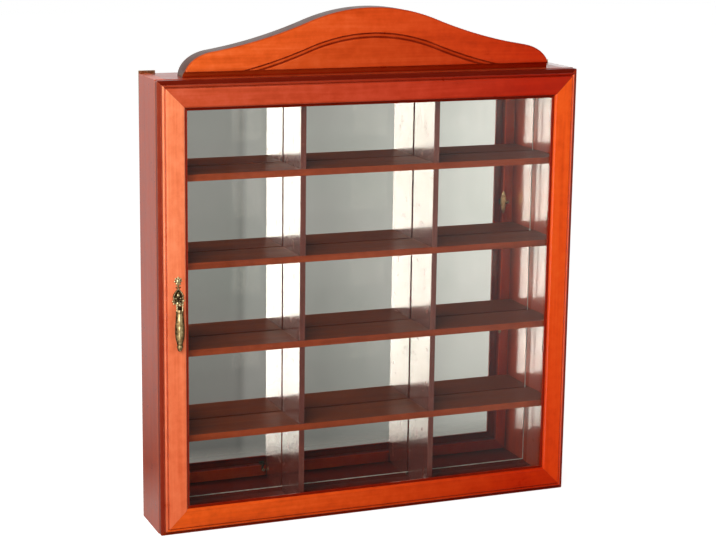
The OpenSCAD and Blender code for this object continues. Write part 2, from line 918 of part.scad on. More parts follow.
module hinge_case_screws() {
    color(brass) hung()
        for (z = [upper_hinge_z, lower_hinge_z])
            at_leaf_screws(z) translate([0, case_front, 0])
                countersunk(leaf_screw_r, leaf_screw_head_r, leaf_screw_len);
}

module hinge_door_screws() {
    color(brass) hung()
        for (z = [upper_hinge_z, lower_hinge_z])
            at_leaf_screws(z) translate([0, door_back, 0]) rotate([0, 0, 180])
                countersunk(leaf_screw_r, leaf_screw_head_r, leaf_screw_len);
}

// Catch: a magnet in the left side panel and a steel disc on the back of the left stile
catch_x = -half_w + side_t / 2;
strike_screw_r = 1;
strike_screw_head_r = 1.9;
strike_screw_len = 7;

module magnet_body(grow = 0) {
    translate([catch_x, case_front, door_mid]) rotate([-90, 0, 0])
        cylinder(h = magnet_len + grow, r = magnet_d / 2 + grow);
}

module catch_magnet() {
    color(steel) hung() magnet_body();
}

module strike_body(grow = 0) {
    translate([catch_x, door_back - strike_t, door_mid]) rotate([-90, 0, 0])
        cylinder(h = strike_t + (grow > 0 ? cut : 0), r = strike_d / 2 + grow);
}

module strike_screw_hole() {
    translate([catch_x, door_back, door_mid]) rotate([0, 0, 180])
        countersunk_hole(strike_screw_r, strike_screw_head_r, strike_screw_len);
}

module strike_disc() {
    color(steel) hung()
        difference() {
            strike_body();
            strike_screw_hole();
        }
}

module strike_screw() {
    color(steel) hung()
        translate([catch_x, door_back, door_mid]) rotate([0, 0, 180])
            countersunk(strike_screw_r, strike_screw_head_r, strike_screw_len);
}

// Pull: each child's origin is on the front of the stile, level with the pivot
module at_pull() {
    translate([-half_w + pull_inset, door_front, door_mid + pull_rise]) children();
}

nut_r = 3.2;
nut_t = 2.4;
sink_r = nut_r + 0.4;
sink_depth = nut_t + 0.4;
pivot_y = -plate_t - pivot_reach;
neck_r = eye_t / 2 - 0.1;
flange_t = 0.8;
flange_r = 2.8;

module bolt_hole() {
    at_pull() translate([0, -cut, 0]) rotate([-90, 0, 0]) {
        cylinder(h = door_t + 2 * cut, r = bolt_r + hole_fit);
        translate([0, 0, cut + door_t - sink_depth]) cylinder(h = sink_depth + cut, r = sink_r);
    }
}

// The pointed plate is widest a little above its middle
plate_swell = 1.39;
plate_steps = 24;
module plate_outline() {
    side = [for (i = [0 : plate_steps])
        let (t = i / plate_steps)
        [plate_half_w * sin(180 * pow(t, plate_swell)), plate_h * t - plate_drop]];
    polygon(concat(side, [for (i = [plate_steps - 1 : -1 : 1]) [-side[i][0], side[i][1]]]));
    fan_z = plate_h - plate_drop + fan_rise - fan_r;
    translate([0, fan_z]) circle(r = fan_r);
    translate([-fan_r / 2, fan_z - 2 * fan_r]) square([fan_r, 2 * fan_r]);
}

module pull_backplate() {
    color(brass) hung() at_pull()
        difference() {
            rotate([90, 0, 0]) linear_extrude(plate_t) plate_outline();
            translate([0, -plate_t - cut, 0]) rotate([-90, 0, 0])
                cylinder(h = plate_t + 2 * cut, r = bolt_r + hole_fit);
        }
}

module pull_eye_bolt() {
    color(brass) hung() at_pull()
        difference() {
            union() {
                translate([0, -plate_t, 0]) rotate([-90, 0, 0])
                    cylinder(h = plate_t + door_t - sink_depth + nut_t, r = bolt_r);
                translate([0, -plate_t, 0]) rotate([90, 0, 0]) cylinder(h = flange_t, r = flange_r);
                translate([0, pivot_y, 0]) rotate([-90, 0, 0]) cylinder(h = pivot_reach, r = neck_r);
                translate([-eye_t / 2, pivot_y, 0]) rotate([0, 90, 0]) cylinder(h = eye_t, r = eye_r);
            }
            translate([-eye_t, pivot_y, 0]) rotate([0, 90, 0])
                cylinder(h = 2 * eye_t, r = drop_pin_r + pin_fit);
        }
}

module pull_nut() {
    color(brass) hung() at_pull()
        translate([0, door_t - sink_depth, 0]) rotate([-90, 0, 0])
            difference() {
                cylinder(h = nut_t, r = nut_r, $fn = 6);
                translate([0, 0, -cut]) cylinder(h = nut_t + 2 * cut, r = bolt_r + hole_fit);
            }
}

// The drop swells below its loop, narrows to a waist and ends in a knob. It is widest a little
// below its middle
drop_swell = 1.4;
leg_r = drop_pin_r + 0.7;
leg_x = eye_t / 2 + loop_gap;
drop_top_w = leg_x + loop_leg;
waist_w = 3.3;
knob_w = 3.9;
knob_len = 8;
body_len = drop_len - loop_len - knob_len;
body_steps = 12;
knob_steps = 6;
// Each ring is [half width, z]
drop_rings = concat(
    [for (i = [0 : body_steps])
        let (t = i / body_steps, swell = drop_half_w - (drop_top_w + waist_w) / 2)
        [drop_top_w + (waist_w - drop_top_w) * t + swell * sin(180 * pow(t, drop_swell)),
         -loop_len - body_len * t]],
    [for (i = [1 : knob_steps])
        let (a = 140 * i / knob_steps)
        [waist_w * (1 - i / knob_steps) + knob_w * sin(a) * 0.7,
         -drop_len + knob_len * (1 - i / knob_steps)]]
);
ring_points = 24;

module drop_body() {
    points = [for (r = drop_rings, i = [0 : ring_points - 1])
        let (a = 360 * i / ring_points)
        [r[0] * cos(a), drop_flatness * r[0] * sin(a), r[1]]];
    polyhedron(points = points, faces = loft_faces(ring_points, len(drop_rings)));
}

module pull_drop() {
    color(brass) hung() at_pull() translate([0, pivot_y, 0]) {
        drop_body();
        for (side = [-1, 1])
            translate([side * (leg_x + loop_leg / 2) - loop_leg / 2, 0, 0]) {
                rotate([0, 90, 0]) cylinder(h = loop_leg, r = leg_r);
                translate([0, -leg_r, -loop_len - cut]) cube([loop_leg, 2 * leg_r, loop_len + cut]);
            }
        translate([-leg_x - cut, 0, 0]) rotate([0, 90, 0])
            cylinder(h = 2 * (leg_x + cut), r = drop_pin_r);
    }
}

left_side_panel();
right_side_panel();
top_panel();
bottom_panel();
back_panel();
mirror_glass();
left_divider();
right_divider();
shelf_1();
shelf_2();
shelf_3();
shelf_4();
case_dowels();
back_screws();
hanging_plates();
hanging_screws();
crest();
crest_dowels();
upper_hinge_case_leaf();
lower_hinge_case_leaf();
upper_hinge_pin();
lower_hinge_pin();
hinge_case_screws();
catch_magnet();
left_stile();
right_stile();
top_rail();
bottom_rail();
door_glass();
glass_clips();
clip_screws();
upper_hinge_door_leaf();
lower_hinge_door_leaf();
hinge_door_screws();
strike_disc();
strike_screw();
pull_backplate();
pull_eye_bolt();
pull_nut();
pull_drop();
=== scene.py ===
"""Wall display cabinet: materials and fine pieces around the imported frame, with a plain studio."""
import json
from math import acos, copysign, cos, dist, hypot, pi, radians, sin, sqrt, tan, tau

import bmesh
import bpy
import numpy
from mathutils import Matrix, Vector, geometry

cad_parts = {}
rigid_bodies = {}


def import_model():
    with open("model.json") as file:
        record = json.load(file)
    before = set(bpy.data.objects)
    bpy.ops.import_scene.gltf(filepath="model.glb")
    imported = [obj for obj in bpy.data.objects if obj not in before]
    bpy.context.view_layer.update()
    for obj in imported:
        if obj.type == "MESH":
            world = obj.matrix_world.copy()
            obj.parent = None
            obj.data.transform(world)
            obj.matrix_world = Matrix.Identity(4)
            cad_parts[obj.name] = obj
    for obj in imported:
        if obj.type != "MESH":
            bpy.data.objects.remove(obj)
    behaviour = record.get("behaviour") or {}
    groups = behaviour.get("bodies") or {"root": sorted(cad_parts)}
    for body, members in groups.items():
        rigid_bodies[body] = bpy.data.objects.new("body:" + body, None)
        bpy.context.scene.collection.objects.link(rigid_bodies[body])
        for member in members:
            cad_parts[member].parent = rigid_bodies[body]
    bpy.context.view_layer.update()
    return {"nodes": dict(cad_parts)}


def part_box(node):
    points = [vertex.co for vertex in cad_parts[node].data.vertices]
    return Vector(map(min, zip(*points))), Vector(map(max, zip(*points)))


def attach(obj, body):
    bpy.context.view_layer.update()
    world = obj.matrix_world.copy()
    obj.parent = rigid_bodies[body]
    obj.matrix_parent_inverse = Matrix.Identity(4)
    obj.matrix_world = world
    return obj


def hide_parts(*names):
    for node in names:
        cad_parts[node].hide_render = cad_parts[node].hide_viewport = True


MM = 0.001
EVEN = (1.0, 1.0, 1.0)
WHITE = (1.0, 1.0, 1.0)

# The photograph's camera: its place in metres and its angles in degrees
CAMERA_AT = (-0.8492, -2.13715, 0.25849)
CAMERA_YAW = 21.946
CAMERA_PITCH = 12.026
CAMERA_ROLL = 0.747
SENSOR_W = 36.0
LENS = 94.006

# Places in the frame, in metres
FOOT_Z = -0.524
CASE_TOP_Z = 0.023
DOOR_FACE_Y = -0.0858
DOOR_MID_Z = -0.2505
SHELF_FRONT_Y = -0.0668


def new_object(name, data):
    """A new object in the scene."""
    made = bpy.data.objects.new(name, data)
    bpy.context.collection.objects.link(made)
    return made


def clear_scene():
    """Starts from an empty scene."""
    for thing in list(bpy.data.objects):
        bpy.data.objects.remove(thing)


# Node helpers


def add(tree, kind, inputs=None, **settings):
    """Adds a node. inputs maps a socket name or number to a value or to another node's output."""
    made = tree.nodes.new(kind)
    for name, value in settings.items():
        setattr(made, name, value)
    for key, value in (inputs or {}).items():
        if isinstance(value, bpy.types.NodeSocket):
            tree.links.new(value, made.inputs[key])
        else:
            made.inputs[key].default_value = value
    return made


def maths(tree, operation, first, second=0.0, clamp=False):
    """The output of a Math node."""
    made = add(tree, "ShaderNodeMath", {0: first, 1: second}, operation=operation, use_clamp=clamp)
    return made.outputs[0]


def times(tree, first, second):
    """The product of two values."""
    return maths(tree, "MULTIPLY", first, second)


def remap(tree, value, low, high, to_low=0.0, to_high=1.0, smooth=False):
    """The value, stretched from low..high to to_low..to_high and held at the ends."""
    made = add(tree, "ShaderNodeMapRange", {"Value": value, "From Min": low, "From Max": high,
                                            "To Min": to_low, "To Max": to_high},
               clamp=True, interpolation_type="SMOOTHSTEP" if smooth else "LINEAR")
    return made.outputs["Result"]


def ramp(tree, value, stops):
    """A colour ramp. stops is a list of (place, grey or colour)."""
    made = add(tree, "ShaderNodeValToRGB", {"Fac": value})
    points = made.color_ramp.elements
    while len(points) < len(stops):
        points.new(0.5)
    for point, (place, tone) in zip(points, stops):
        point.position = place
        colour = (tone,) * 3 if isinstance(tone, float) else tone
        point.color = (*colour, 1.0)
    return made.outputs["Color"]


def mix(tree, fac, first, second, blend="MIX"):
    """The output of a colour Mix node."""
    ends = [end if isinstance(end, bpy.types.NodeSocket) else (*end, 1.0) for end in (first, second)]
    made = add(tree, "ShaderNodeMix", {0: fac, 6: ends[0], 7: ends[1]}, data_type="RGBA",
               blend_type=blend)
    return made.outputs[2]


def new_tree(name):
    """A new material with an empty tree: (material, tree)."""
    material = bpy.data.materials.new(name)
    material.use_nodes = True
    material.node_tree.nodes.clear()
    return material, material.node_tree


def object_coords(tree, scale=EVEN, offset=(0.0, 0.0, 0.0)):
    """Object coordinates, scaled by axis."""
    coords = add(tree, "ShaderNodeTexCoord").outputs["Object"]
    mapped = add(tree, "ShaderNodeMapping", {"Vector": coords, "Location": offset, "Scale": scale})
    return mapped.outputs["Vector"]


def split(tree, vector):
    """The X, Y and Z outputs of a vector."""
    return add(tree, "ShaderNodeSeparateXYZ", {0: vector}).outputs


def noise(tree, coords, scale, detail, roughness, distortion=0.0):
    """A noise factor from 0 to 1."""
    made = add(tree, "ShaderNodeTexNoise", {"Vector": coords, "Scale": scale, "Detail": detail,
                                            "Roughness": roughness, "Distortion": distortion})
    return made.outputs["Fac"]


def openness(tree, reach, samples):
    """1 on open surfaces and less in hollows, felt over a reach in metres."""
    made = add(tree, "ShaderNodeAmbientOcclusion", {"Distance": reach}, samples=samples,
               only_local=True)
    return made.outputs["AO"]


def bumped(tree, height, strength, depth, normal=None):
    """The normal, roughened by a height of some depth in metres."""
    inputs = {"Height": height, "Strength": strength, "Distance": depth}
    if normal is not None:
        inputs["Normal"] = normal
    return add(tree, "ShaderNodeBump", inputs).outputs["Normal"]


def blend(tree, fac, first, second):
    """A mix of two shaders."""
    return add(tree, "ShaderNodeMixShader", {0: fac, 1: first.outputs[0], 2: second.outputs[0]})


def close_tree(material, inputs):
    """Ends a material in a Principled shader with these inputs."""
    shader = add(material.node_tree, "ShaderNodeBsdfPrincipled", inputs)
    add(material.node_tree, "ShaderNodeOutputMaterial", {"Surface": shader.outputs["BSDF"]})
    return material


# Materials

# Stretch of the cherry's figure and fibres along the grain
FIGURE_STRETCH = 0.07
FIBRE_STRETCH = 0.025
# Radius of the cherry's edges in metres, and how pale they are rubbed
EDGE_RADIUS = 0.0009
EDGE_WEAR = 0.35
# Shares of the dark tone in darkened places: painted shade in hollows and recesses, with pooled stain
STAIN_AND_SHADE_SHARES = (0.29, 0.08, 0.12)
# In metres: depth of wood fibres and of metal marks, and reach of hollows in brass
FIBRE_DEPTH = 0.0002
MARK_DEPTH = 0.0001
BRASS_HOLLOW = 0.0022


def cherry_figure(tree, grain, tones, offset):
    """The colour, the mottle, the streaks and the pores of bare cherry."""
    dark, middle, light = tones
    stretched, fibrous = list(EVEN), list(EVEN)
    stretched[grain] = FIGURE_STRETCH
    fibrous[grain] = FIBRE_STRETCH
    fibre_coords = object_coords(tree, fibrous, offset)
    figure = noise(tree, object_coords(tree, stretched, offset), 42.0, 5.0, 0.6, 1.2)
    streaks = noise(tree, fibre_coords, 300.0, 4.0, 0.6)
    mottle = noise(tree, object_coords(tree, EVEN, offset), 70.0, 4.0, 0.62)
    pores = remap(tree, noise(tree, fibre_coords, 1900.0, 2.0, 0.5), 0.62, 0.78, 0.0, 0.22)
    blended = maths(tree, "ADD", times(tree, figure, 0.45), times(tree, mottle, 0.33))
    blended = maths(tree, "ADD", blended, times(tree, streaks, 0.22))
    colour = ramp(tree, blended, [(0.36, dark), (0.5, middle), (0.64, light)])
    return mix(tree, pores, colour, dark), mottle, streaks, pores


def moulding_stain_and_shade(tree, place, depths):
    """The darkness of the door's moulding, by depth and on the lip: stain with painted shade."""
    first, last = depths[0][0], depths[-1][0]
    stops = [((stop - first) / (last - first), share) for stop, share in depths]
    outside = ramp(tree, remap(tree, place["Y"], first, last), stops)
    on_lip = remap(tree, place["Y"], LIP_FROM_Y, LIP_FROM_Y + LIP_BLEND, 0.0, LIP_DARKNESS)
    level = maths(tree, "ABSOLUTE", maths(tree, "SUBTRACT", place["Z"], DOOR_MID_Z))
    inside = times(tree, maths(tree, "LESS_THAN", level, LIP_Z),
                   maths(tree, "LESS_THAN", maths(tree, "ABSOLUTE", place["X"]), LIP_X))
    return mix(tree, inside, outside, on_lip)


def wood(name, grain, tones, seed, gloss=0.32, ior=1.5, coat=0.25, coat_ior=1.5, relief=0.22,
         recess=0.006, depths=None, edge_coat=0.15, coat_rough=0.08, top_coat=None, painted_light_ramp=None,
         reads_stain_and_shade=False):
    """Stained and lacquered cherry with its fibres along grain, darker in hollows as painted shade with
    pooled stain. recess is how wide a hollow counts. depths are (place in y, darkness) stops of the
    door's moulding, stain with painted shade, whose rounded edges have their own coat. top_coat is for
    a side panel's upper end. The tint ramp along one axis is painted light and shade, and the darkness
    read from the mesh is stain with painted shade."""
    material, tree = new_tree(name)
    offset = (seed * 0.37, seed * 0.73, seed * 0.19)
    colour, mottle, streaks, pores = cherry_figure(tree, grain, tones, offset)
    place = split(tree, object_coords(tree))
    # Painted light and shade: the tone is tinted along one axis.
    if painted_light_ramp:
        axis, low, high, low_tint, high_tint = painted_light_ramp
        tint = mix(tree, remap(tree, place[axis], low, high), low_tint, high_tint)
        colour = mix(tree, 1.0, colour, tint, "MULTIPLY")

    # Painted shade: darker in hollows found by occlusion, with stain that pools there.
    sunk = remap(tree, openness(tree, recess, 6), 0.3, 0.8, 0.7, 0.0)
    if depths:
        sunk = maths(tree, "MAXIMUM", sunk, moulding_stain_and_shade(tree, place, depths))
        coat = remap(tree, place["Y"], DOOR_FACE_Y + 0.0001, DOOR_FACE_Y + 0.0006, coat, edge_coat)
    if top_coat is not None:
        coat = remap(tree, place["Z"], CASE_TOP_Z - 0.0005, CASE_TOP_Z - 0.0001, coat, top_coat)
    # Stain with painted shade, read from the mesh.
    if reads_stain_and_shade:
        painted = add(tree, "ShaderNodeAttribute", attribute_name="stain_and_shade").outputs["Fac"]
        sunk = maths(tree, "MAXIMUM", sunk, painted)
    # The dark colour of painted shade and pooled stain.
    stain_and_shade = tuple(tone * share for tone, share in zip(tones[0], STAIN_AND_SHADE_SHARES))
    colour = mix(tree, sunk, colour, stain_and_shade)

    rounded = add(tree, "ShaderNodeBevel", {"Radius": EDGE_RADIUS}, samples=4).outputs["Normal"]
    flat = add(tree, "ShaderNodeNewGeometry").outputs["True Normal"]
    along = add(tree, "ShaderNodeVectorMath", {0: rounded, 1: flat}, operation="DOT_PRODUCT")
    wear = remap(tree, along.outputs["Value"], 0.995, 0.86, 0.0, EDGE_WEAR)
    wear = times(tree, wear, remap(tree, mottle, 0.35, 0.6))
    colour = mix(tree, wear, colour, tuple(min(1.0, tone * 1.25 + 0.02) for tone in tones[2]))

    fibres = maths(tree, "ADD", times(tree, streaks, 0.5), times(tree, pores, -0.9))
    return close_tree(material, {
        "Base Color": colour, "IOR": ior, "Specular Tint": (1.0, 0.4, 0.16, 1.0),
        "Roughness": remap(tree, mottle, 0.3, 0.7, gloss - 0.05, gloss + 0.07),
        "Normal": bumped(tree, fibres, relief, FIBRE_DEPTH, rounded),
        "Coat Weight": times(tree, coat, remap(tree, sunk, 0.0, 1.0, 1.0, 0.1)),
        "Coat Roughness": coat_rough, "Coat IOR": coat_ior, "Coat Normal": rounded})


def plain_board(name, tones, seed):
    """Pale unfinished board for the back and the dowels."""
    dark, middle, light = tones
    material, tree = new_tree(name)
    offset = (seed * 0.31, seed * 0.57, seed * 0.83)
    fibres = noise(tree, object_coords(tree, (1.0, 1.0, 0.06), offset), 220.0, 5.0, 0.65)
    specks = noise(tree, object_coords(tree, EVEN, offset), 900.0, 3.0, 0.6)
    tone = maths(tree, "ADD", times(tree, fibres, 0.7), times(tree, specks, 0.3))
    return close_tree(material, {
        "Base Color": ramp(tree, tone, [(0.38, dark), (0.5, middle), (0.62, light)]),
        "Roughness": remap(tree, specks, 0.3, 0.7, 0.62, 0.8),
        "Normal": bumped(tree, tone, 0.35, FIBRE_DEPTH)})


def antique_brass(name, seed, tarnish_and_shade, painted=False):
    """Aged brass, dark in the hollows and rubbed bright on the high edges. painted reads more of the
    darkness from the mesh: tarnish, with painted shade on the drop and the clips and a painted
    highlight on the drop's ridge."""
    material, tree = new_tree(name)
    coords = object_coords(tree, EVEN, (seed * 0.4, seed * 0.9, seed * 0.2))
    clouds = noise(tree, coords, 260.0, 4.0, 0.6)
    grime = noise(tree, coords, 1400.0, 3.0, 0.6)
    shade = maths(tree, "ADD", remap(tree, openness(tree, BRASS_HOLLOW, 8), 0.35, 0.85, 1.0, 0.0),
                  remap(tree, clouds, 0.35, 0.7, -0.12, 0.16), clamp=True)
    shade = times(tree, shade, tarnish_and_shade)
    if painted:
        worn = add(tree, "ShaderNodeAttribute", attribute_name="tarnish_and_shade").outputs["Fac"]
        worn = maths(tree, "ADD", worn, remap(tree, clouds, 0.38, 0.64, -0.18, 0.2))
        shade = maths(tree, "MAXIMUM", shade, worn)
    return close_tree(material, {
        "Base Color": ramp(tree, shade, [(0.0, (0.66, 0.54, 0.29)), (0.45, (0.3, 0.2, 0.085)),
                                         (1.0, (0.02, 0.01, 0.005))]),
        "Metallic": 1.0,
        "Roughness": maths(tree, "ADD", remap(tree, shade, 0.0, 1.0, 0.26, 0.55),
                           remap(tree, grime, 0.3, 0.7, -0.04, 0.06)),
        "Normal": bumped(tree, grime, 0.25, MARK_DEPTH)})


def plated_steel(name, seed):
    """Bright zinc-plated steel with fine clouding."""
    material, tree = new_tree(name)
    coords = object_coords(tree, EVEN, (seed * 0.6, seed * 0.3, seed * 0.8))
    clouds = noise(tree, coords, 420.0, 4.0, 0.6)
    scratches = noise(tree, object_coords(tree, (1.0, 1.0, 0.1)), 1600.0, 2.0, 0.5)
    return close_tree(material, {
        "Base Color": ramp(tree, clouds, [(0.35, (0.42, 0.42, 0.4)), (0.65, (0.66, 0.66, 0.63))]),
        "Metallic": 1.0, "Roughness": remap(tree, clouds, 0.3, 0.7, 0.24, 0.38),
        "Normal": bumped(tree, scratches, 0.12, MARK_DEPTH)})


def hazed(name, clouds, dull, clear, rough, metallic):
    """A material between two tones and roughnesses."""
    material, tree = new_tree(name)
    haze = noise(tree, object_coords(tree), *clouds)
    return close_tree(material, {
        "Base Color": ramp(tree, haze, [(0.3, dull), (0.7, clear)]),
        "Metallic": metallic, "Roughness": remap(tree, haze, 0.3, 0.7, *rough)})


def mirror(name):
    """Silvered glass with a trace of haze."""
    return hazed(name, (14.0, 3.0, 0.5), (0.83, 0.79, 0.725), (0.88, 0.84, 0.775), (0.008, 0.02), 1.0)


def arris_highlight(name):
    """A pale matt line where the bevel of a mirror begins: a painted highlight for the glint on that edge.
    """
    return hazed(name, (160.0, 4.0, 0.6), (0.34, 0.34, 0.29), (0.6, 0.6, 0.52), (0.38, 0.5), 0.0)


def pane_glass(name):
    """Clear pane: light goes straight through and each outer face reflects by its angle."""
    material, tree = new_tree(name)
    smears = noise(tree, object_coords(tree), 9.0, 3.0, 0.5)
    tint = ramp(tree, smears, [(0.3, (0.955, 0.975, 0.965)), (0.7, (0.985, 0.992, 0.988))])
    clear = add(tree, "ShaderNodeBsdfTransparent", {"Color": tint})
    shine = add(tree, "ShaderNodeBsdfAnisotropic", {"Roughness": 0.0}, distribution="GGX")
    fresnel = add(tree, "ShaderNodeFresnel", {"IOR": 1.52}).outputs["Fac"]
    inside = add(tree, "ShaderNodeNewGeometry").outputs["Backfacing"]
    amount = times(tree, fresnel, maths(tree, "SUBTRACT", 1.0, inside))
    both = blend(tree, amount, clear, shine)
    add(tree, "ShaderNodeOutputMaterial", {"Surface": both.outputs[0]})
    return material


# Tones, linear: dark, middle and light. The last two are of bare boards. The stiles and rails are one
# cherry in four tones of painted light: AMBER holds painted glare and RED painted shade. FLOOR and
# SHELF are darkened as painted shade of the dim inside.
ORANGE = ((0.56, 0.05, 0.003), (0.71, 0.072, 0.006), (0.8, 0.104, 0.014))
FIERY = ((0.78, 0.06, 0.002), (0.93, 0.085, 0.004), (0.97, 0.12, 0.01))
AMBER = ((0.72, 0.128, 0.044), (0.86, 0.19, 0.075), (0.95, 0.25, 0.11))
RED = ((0.38, 0.028, 0.003), (0.5, 0.042, 0.006), (0.59, 0.062, 0.012))
BRIGHT_RED = ((0.57, 0.042, 0.003), (0.74, 0.06, 0.004), (0.84, 0.088, 0.01))
CASE = ((0.27, 0.024, 0.003), (0.37, 0.036, 0.006), (0.45, 0.054, 0.012))
SIDE = ((0.5, 0.05, 0.008), (0.62, 0.07, 0.012), (0.7, 0.09, 0.02))
FLOOR = ((0.07, 0.004, 0.001), (0.1, 0.007, 0.002), (0.14, 0.012, 0.003))
SHELF = ((0.105, 0.018, 0.004), (0.148, 0.027, 0.007), (0.196, 0.04, 0.011))
DIVIDER = ((0.1, 0.018, 0.012), (0.14, 0.027, 0.018), (0.18, 0.039, 0.026))
UMBER = ((0.05, 0.016, 0.01), (0.08, 0.026, 0.016), (0.11, 0.04, 0.026))
BACK = ((0.27, 0.17, 0.1), (0.36, 0.24, 0.15), (0.44, 0.31, 0.2))
BEECH = ((0.52, 0.34, 0.2), (0.62, 0.43, 0.27), (0.7, 0.51, 0.34))
ALONG_X = 0
ALONG_Y = 1
ALONG_Z = 2

# The lip is darkened behind this depth and within these distances of the door's middle, in metres.
LIP_FROM_Y = -0.0831
LIP_BLEND = 0.0003
LIP_X = 0.2384
LIP_Z = 0.2414
LIP_DARKNESS = 0.97
# Darkness by depth outside the lip: bead, quirk, step and the paler back. It is stain with painted
# shade, and the top rail's darker bead is painted shade.
BACK_DEPTHS = [(-0.0705, 0.25), (-0.068, 0.25)]
STILE_DEPTHS = [(-0.086, 0.0), (-0.0833, 0.0), (-0.0826, 0.25), (-0.0822, 0.32), (-0.0815, 0.88),
                (-0.0725, 0.88), *BACK_DEPTHS]
FOOT_DEPTHS = [(-0.086, 0.0), (-0.0833, 0.0), (-0.0826, 0.12), (-0.0822, 0.2), (-0.0815, 0.85),
               (-0.0725, 0.88), *BACK_DEPTHS]
TOP_DEPTHS = [(-0.086, 0.0), (-0.085, 0.0), (-0.0844, 0.5), (-0.0834, 0.5), (-0.0826, 0.12),
              (-0.0822, 0.12), (-0.0815, 0.94), (-0.0725, 0.92), *BACK_DEPTHS]
# Where the tint of the rails begins and ends, in metres
RAIL_FROM = -0.27
RAIL_TO = 0.2
# Looks: what differs from the usual. Tint ramps are (axis, from, to, tint, tint) and paint light and
# shade: lighter at the top and the left, darker at the foot and the right. On the shelves they paint a
# highlight on the front edges.
DOOR_LOOK = {"depths": STILE_DEPTHS, "ior": 1.28, "coat": 0.15, "coat_ior": 1.4, "recess": 0.0006}
STILE_L_LOOK = {**DOOR_LOOK, "edge_coat": 0.9,
                "painted_light_ramp": (ALONG_Z, FOOT_Z, CASE_TOP_Z, (0.96, 0.8, 0.72), (1.03, 1.25, 1.35))}
STILE_R_LOOK = {**DOOR_LOOK, "edge_coat": 0.85,
                "painted_light_ramp": (ALONG_Z, FOOT_Z, CASE_TOP_Z, (0.85, 0.55, 0.6), (1.0, 1.2, 1.5))}
TOP_LOOK = {**DOOR_LOOK, "depths": TOP_DEPTHS, "recess": 0.0004,
            "painted_light_ramp": (ALONG_X, RAIL_FROM, RAIL_TO, (1.04, 1.8, 4.4), (0.84, 0.21, 0.0))}
FOOT_LOOK = {**DOOR_LOOK, "depths": FOOT_DEPTHS,
             "painted_light_ramp": (ALONG_X, RAIL_FROM, RAIL_TO, (1.13, 1.8, 2.5), (0.72, 0.3, 0.0))}
CASE_LOOK = {"coat": 0.32, "ior": 1.35}
SIDE_LOOK = {"coat": 1.0, "coat_ior": 1.55, "top_coat": 0.1}
SIDE_R_LOOK = {**SIDE_LOOK, "coat_rough": 0.13, "top_coat": 1.0}
FLOOR_LOOK = {"coat": 0.0, "ior": 1.12, "gloss": 0.45}
INNER_LOOK = {"coat": 1.0, "coat_rough": 0.14, "gloss": 0.22, "relief": 0.02}
# The shelves' front edges are painted lighter: painted highlight.
SHELF_LOOK = {"coat": 0.04, "coat_rough": 0.35, "ior": 1.15, "gloss": 0.52, "relief": 0.07,
              "painted_light_ramp": (ALONG_Y, SHELF_FRONT_Y, SHELF_FRONT_Y + 0.001, (2.0, 1.7, 1.7), WHITE)}
CREST_LOOK = {"ior": 1.28, "coat": 0.12, "coat_ior": 1.35, "recess": 0.0015, "reads_stain_and_shade": True,
              "painted_light_ramp": (ALONG_X, -0.23, 0.23, (1.02, 1.5, 2.6), (0.76, 0.27, 0.0))}

# Every cherry piece: its grain, tones and look
WOODS = {
    "left_stile": (ALONG_Z, AMBER, STILE_L_LOOK),
    "right_stile": (ALONG_Z, FIERY, STILE_R_LOOK),
    "top_rail": (ALONG_X, RED, TOP_LOOK),
    "bottom_rail": (ALONG_X, BRIGHT_RED, FOOT_LOOK),
    "left_side_panel": (ALONG_Z, SIDE, SIDE_LOOK),
    "right_side_panel": (ALONG_Z, CASE, SIDE_R_LOOK),
    "top_panel": (ALONG_X, CASE, CASE_LOOK),
    "bottom_panel": (ALONG_X, FLOOR, FLOOR_LOOK),
    **{f"shelf_{k}": (ALONG_X, SHELF, SHELF_LOOK) for k in (1, 2, 3, 4)},
    **{f"{side}_divider": (ALONG_Z, DIVIDER, INNER_LOOK) for side in ("left", "right")},
    "crest": (ALONG_X, ORANGE, DOOR_LOOK),
}
# How far brass has darkened: pieces, screws, and what differs
USUAL_TARNISH = 0.75
SCREW_TARNISH = 0.5
TARNISH = {"hanging_plates": 0.15, "clip_screws": 0.0}
BRASSES = (
    "glass_clips", "clip_screws", "hanging_plates", "hanging_screws", "pull_backplate",
    "pull_eye_bolt", "pull_nut", "pull_drop",
    *(f"{end}_hinge_{part}" for part in ("case_leaf", "door_leaf", "pin") for end in ("upper", "lower")),
    "hinge_case_screws", "hinge_door_screws")
STEELS = ("back_screws", "catch_magnet", "strike_disc", "strike_screw")


def dress(node, material):
    """Gives a CAD node's material slots this material."""
    for place in node.material_slots:
        place.material = material


def dress_nodes(nodes):
    """Every CAD node gets its own finish."""
    for seed, (name, (grain, tones, look)) in enumerate(WOODS.items(), 1):
        dress(nodes[name], wood("cherry_" + name, grain, tones, seed, **look))
    for seed, name in enumerate(BRASSES):
        dress(nodes[name], antique_brass("brass_" + name, seed, TARNISH.get(name, USUAL_TARNISH)))
    for seed, name in enumerate(STEELS):
        dress(nodes[name], plated_steel("steel_" + name, seed))
    dress(nodes["back_panel"], plain_board("board_back_panel", BACK, 1))
    for seed, name in enumerate(("case_dowels", "crest_dowels")):
        dress(nodes[name], plain_board("beech_" + name, BEECH, seed))
    dress(nodes["mirror_glass"], mirror("mirror_glass"))
    dress(nodes["door_glass"], pane_glass("door_glass"))


# Mesh helpers


def bridge(bm, near, far):
    """Faces between two closed rings of vertices."""
    for i in range(len(near)):
        j = (i + 1) % len(near)
        bm.faces.new((near[i], near[j], far[j], far[i]))


def loft(bm, rings, capped=True):
    """Skins rings of points, each with as many points as the others."""
    rows = [[bm.verts.new(point) for point in ring] for ring in rings]
    for near, far in zip(rows, rows[1:]):
        bridge(bm, near, far)
    if capped:
        bm.faces.new(rows[0][::-1])
        bm.faces.new(rows[-1])
    return rows


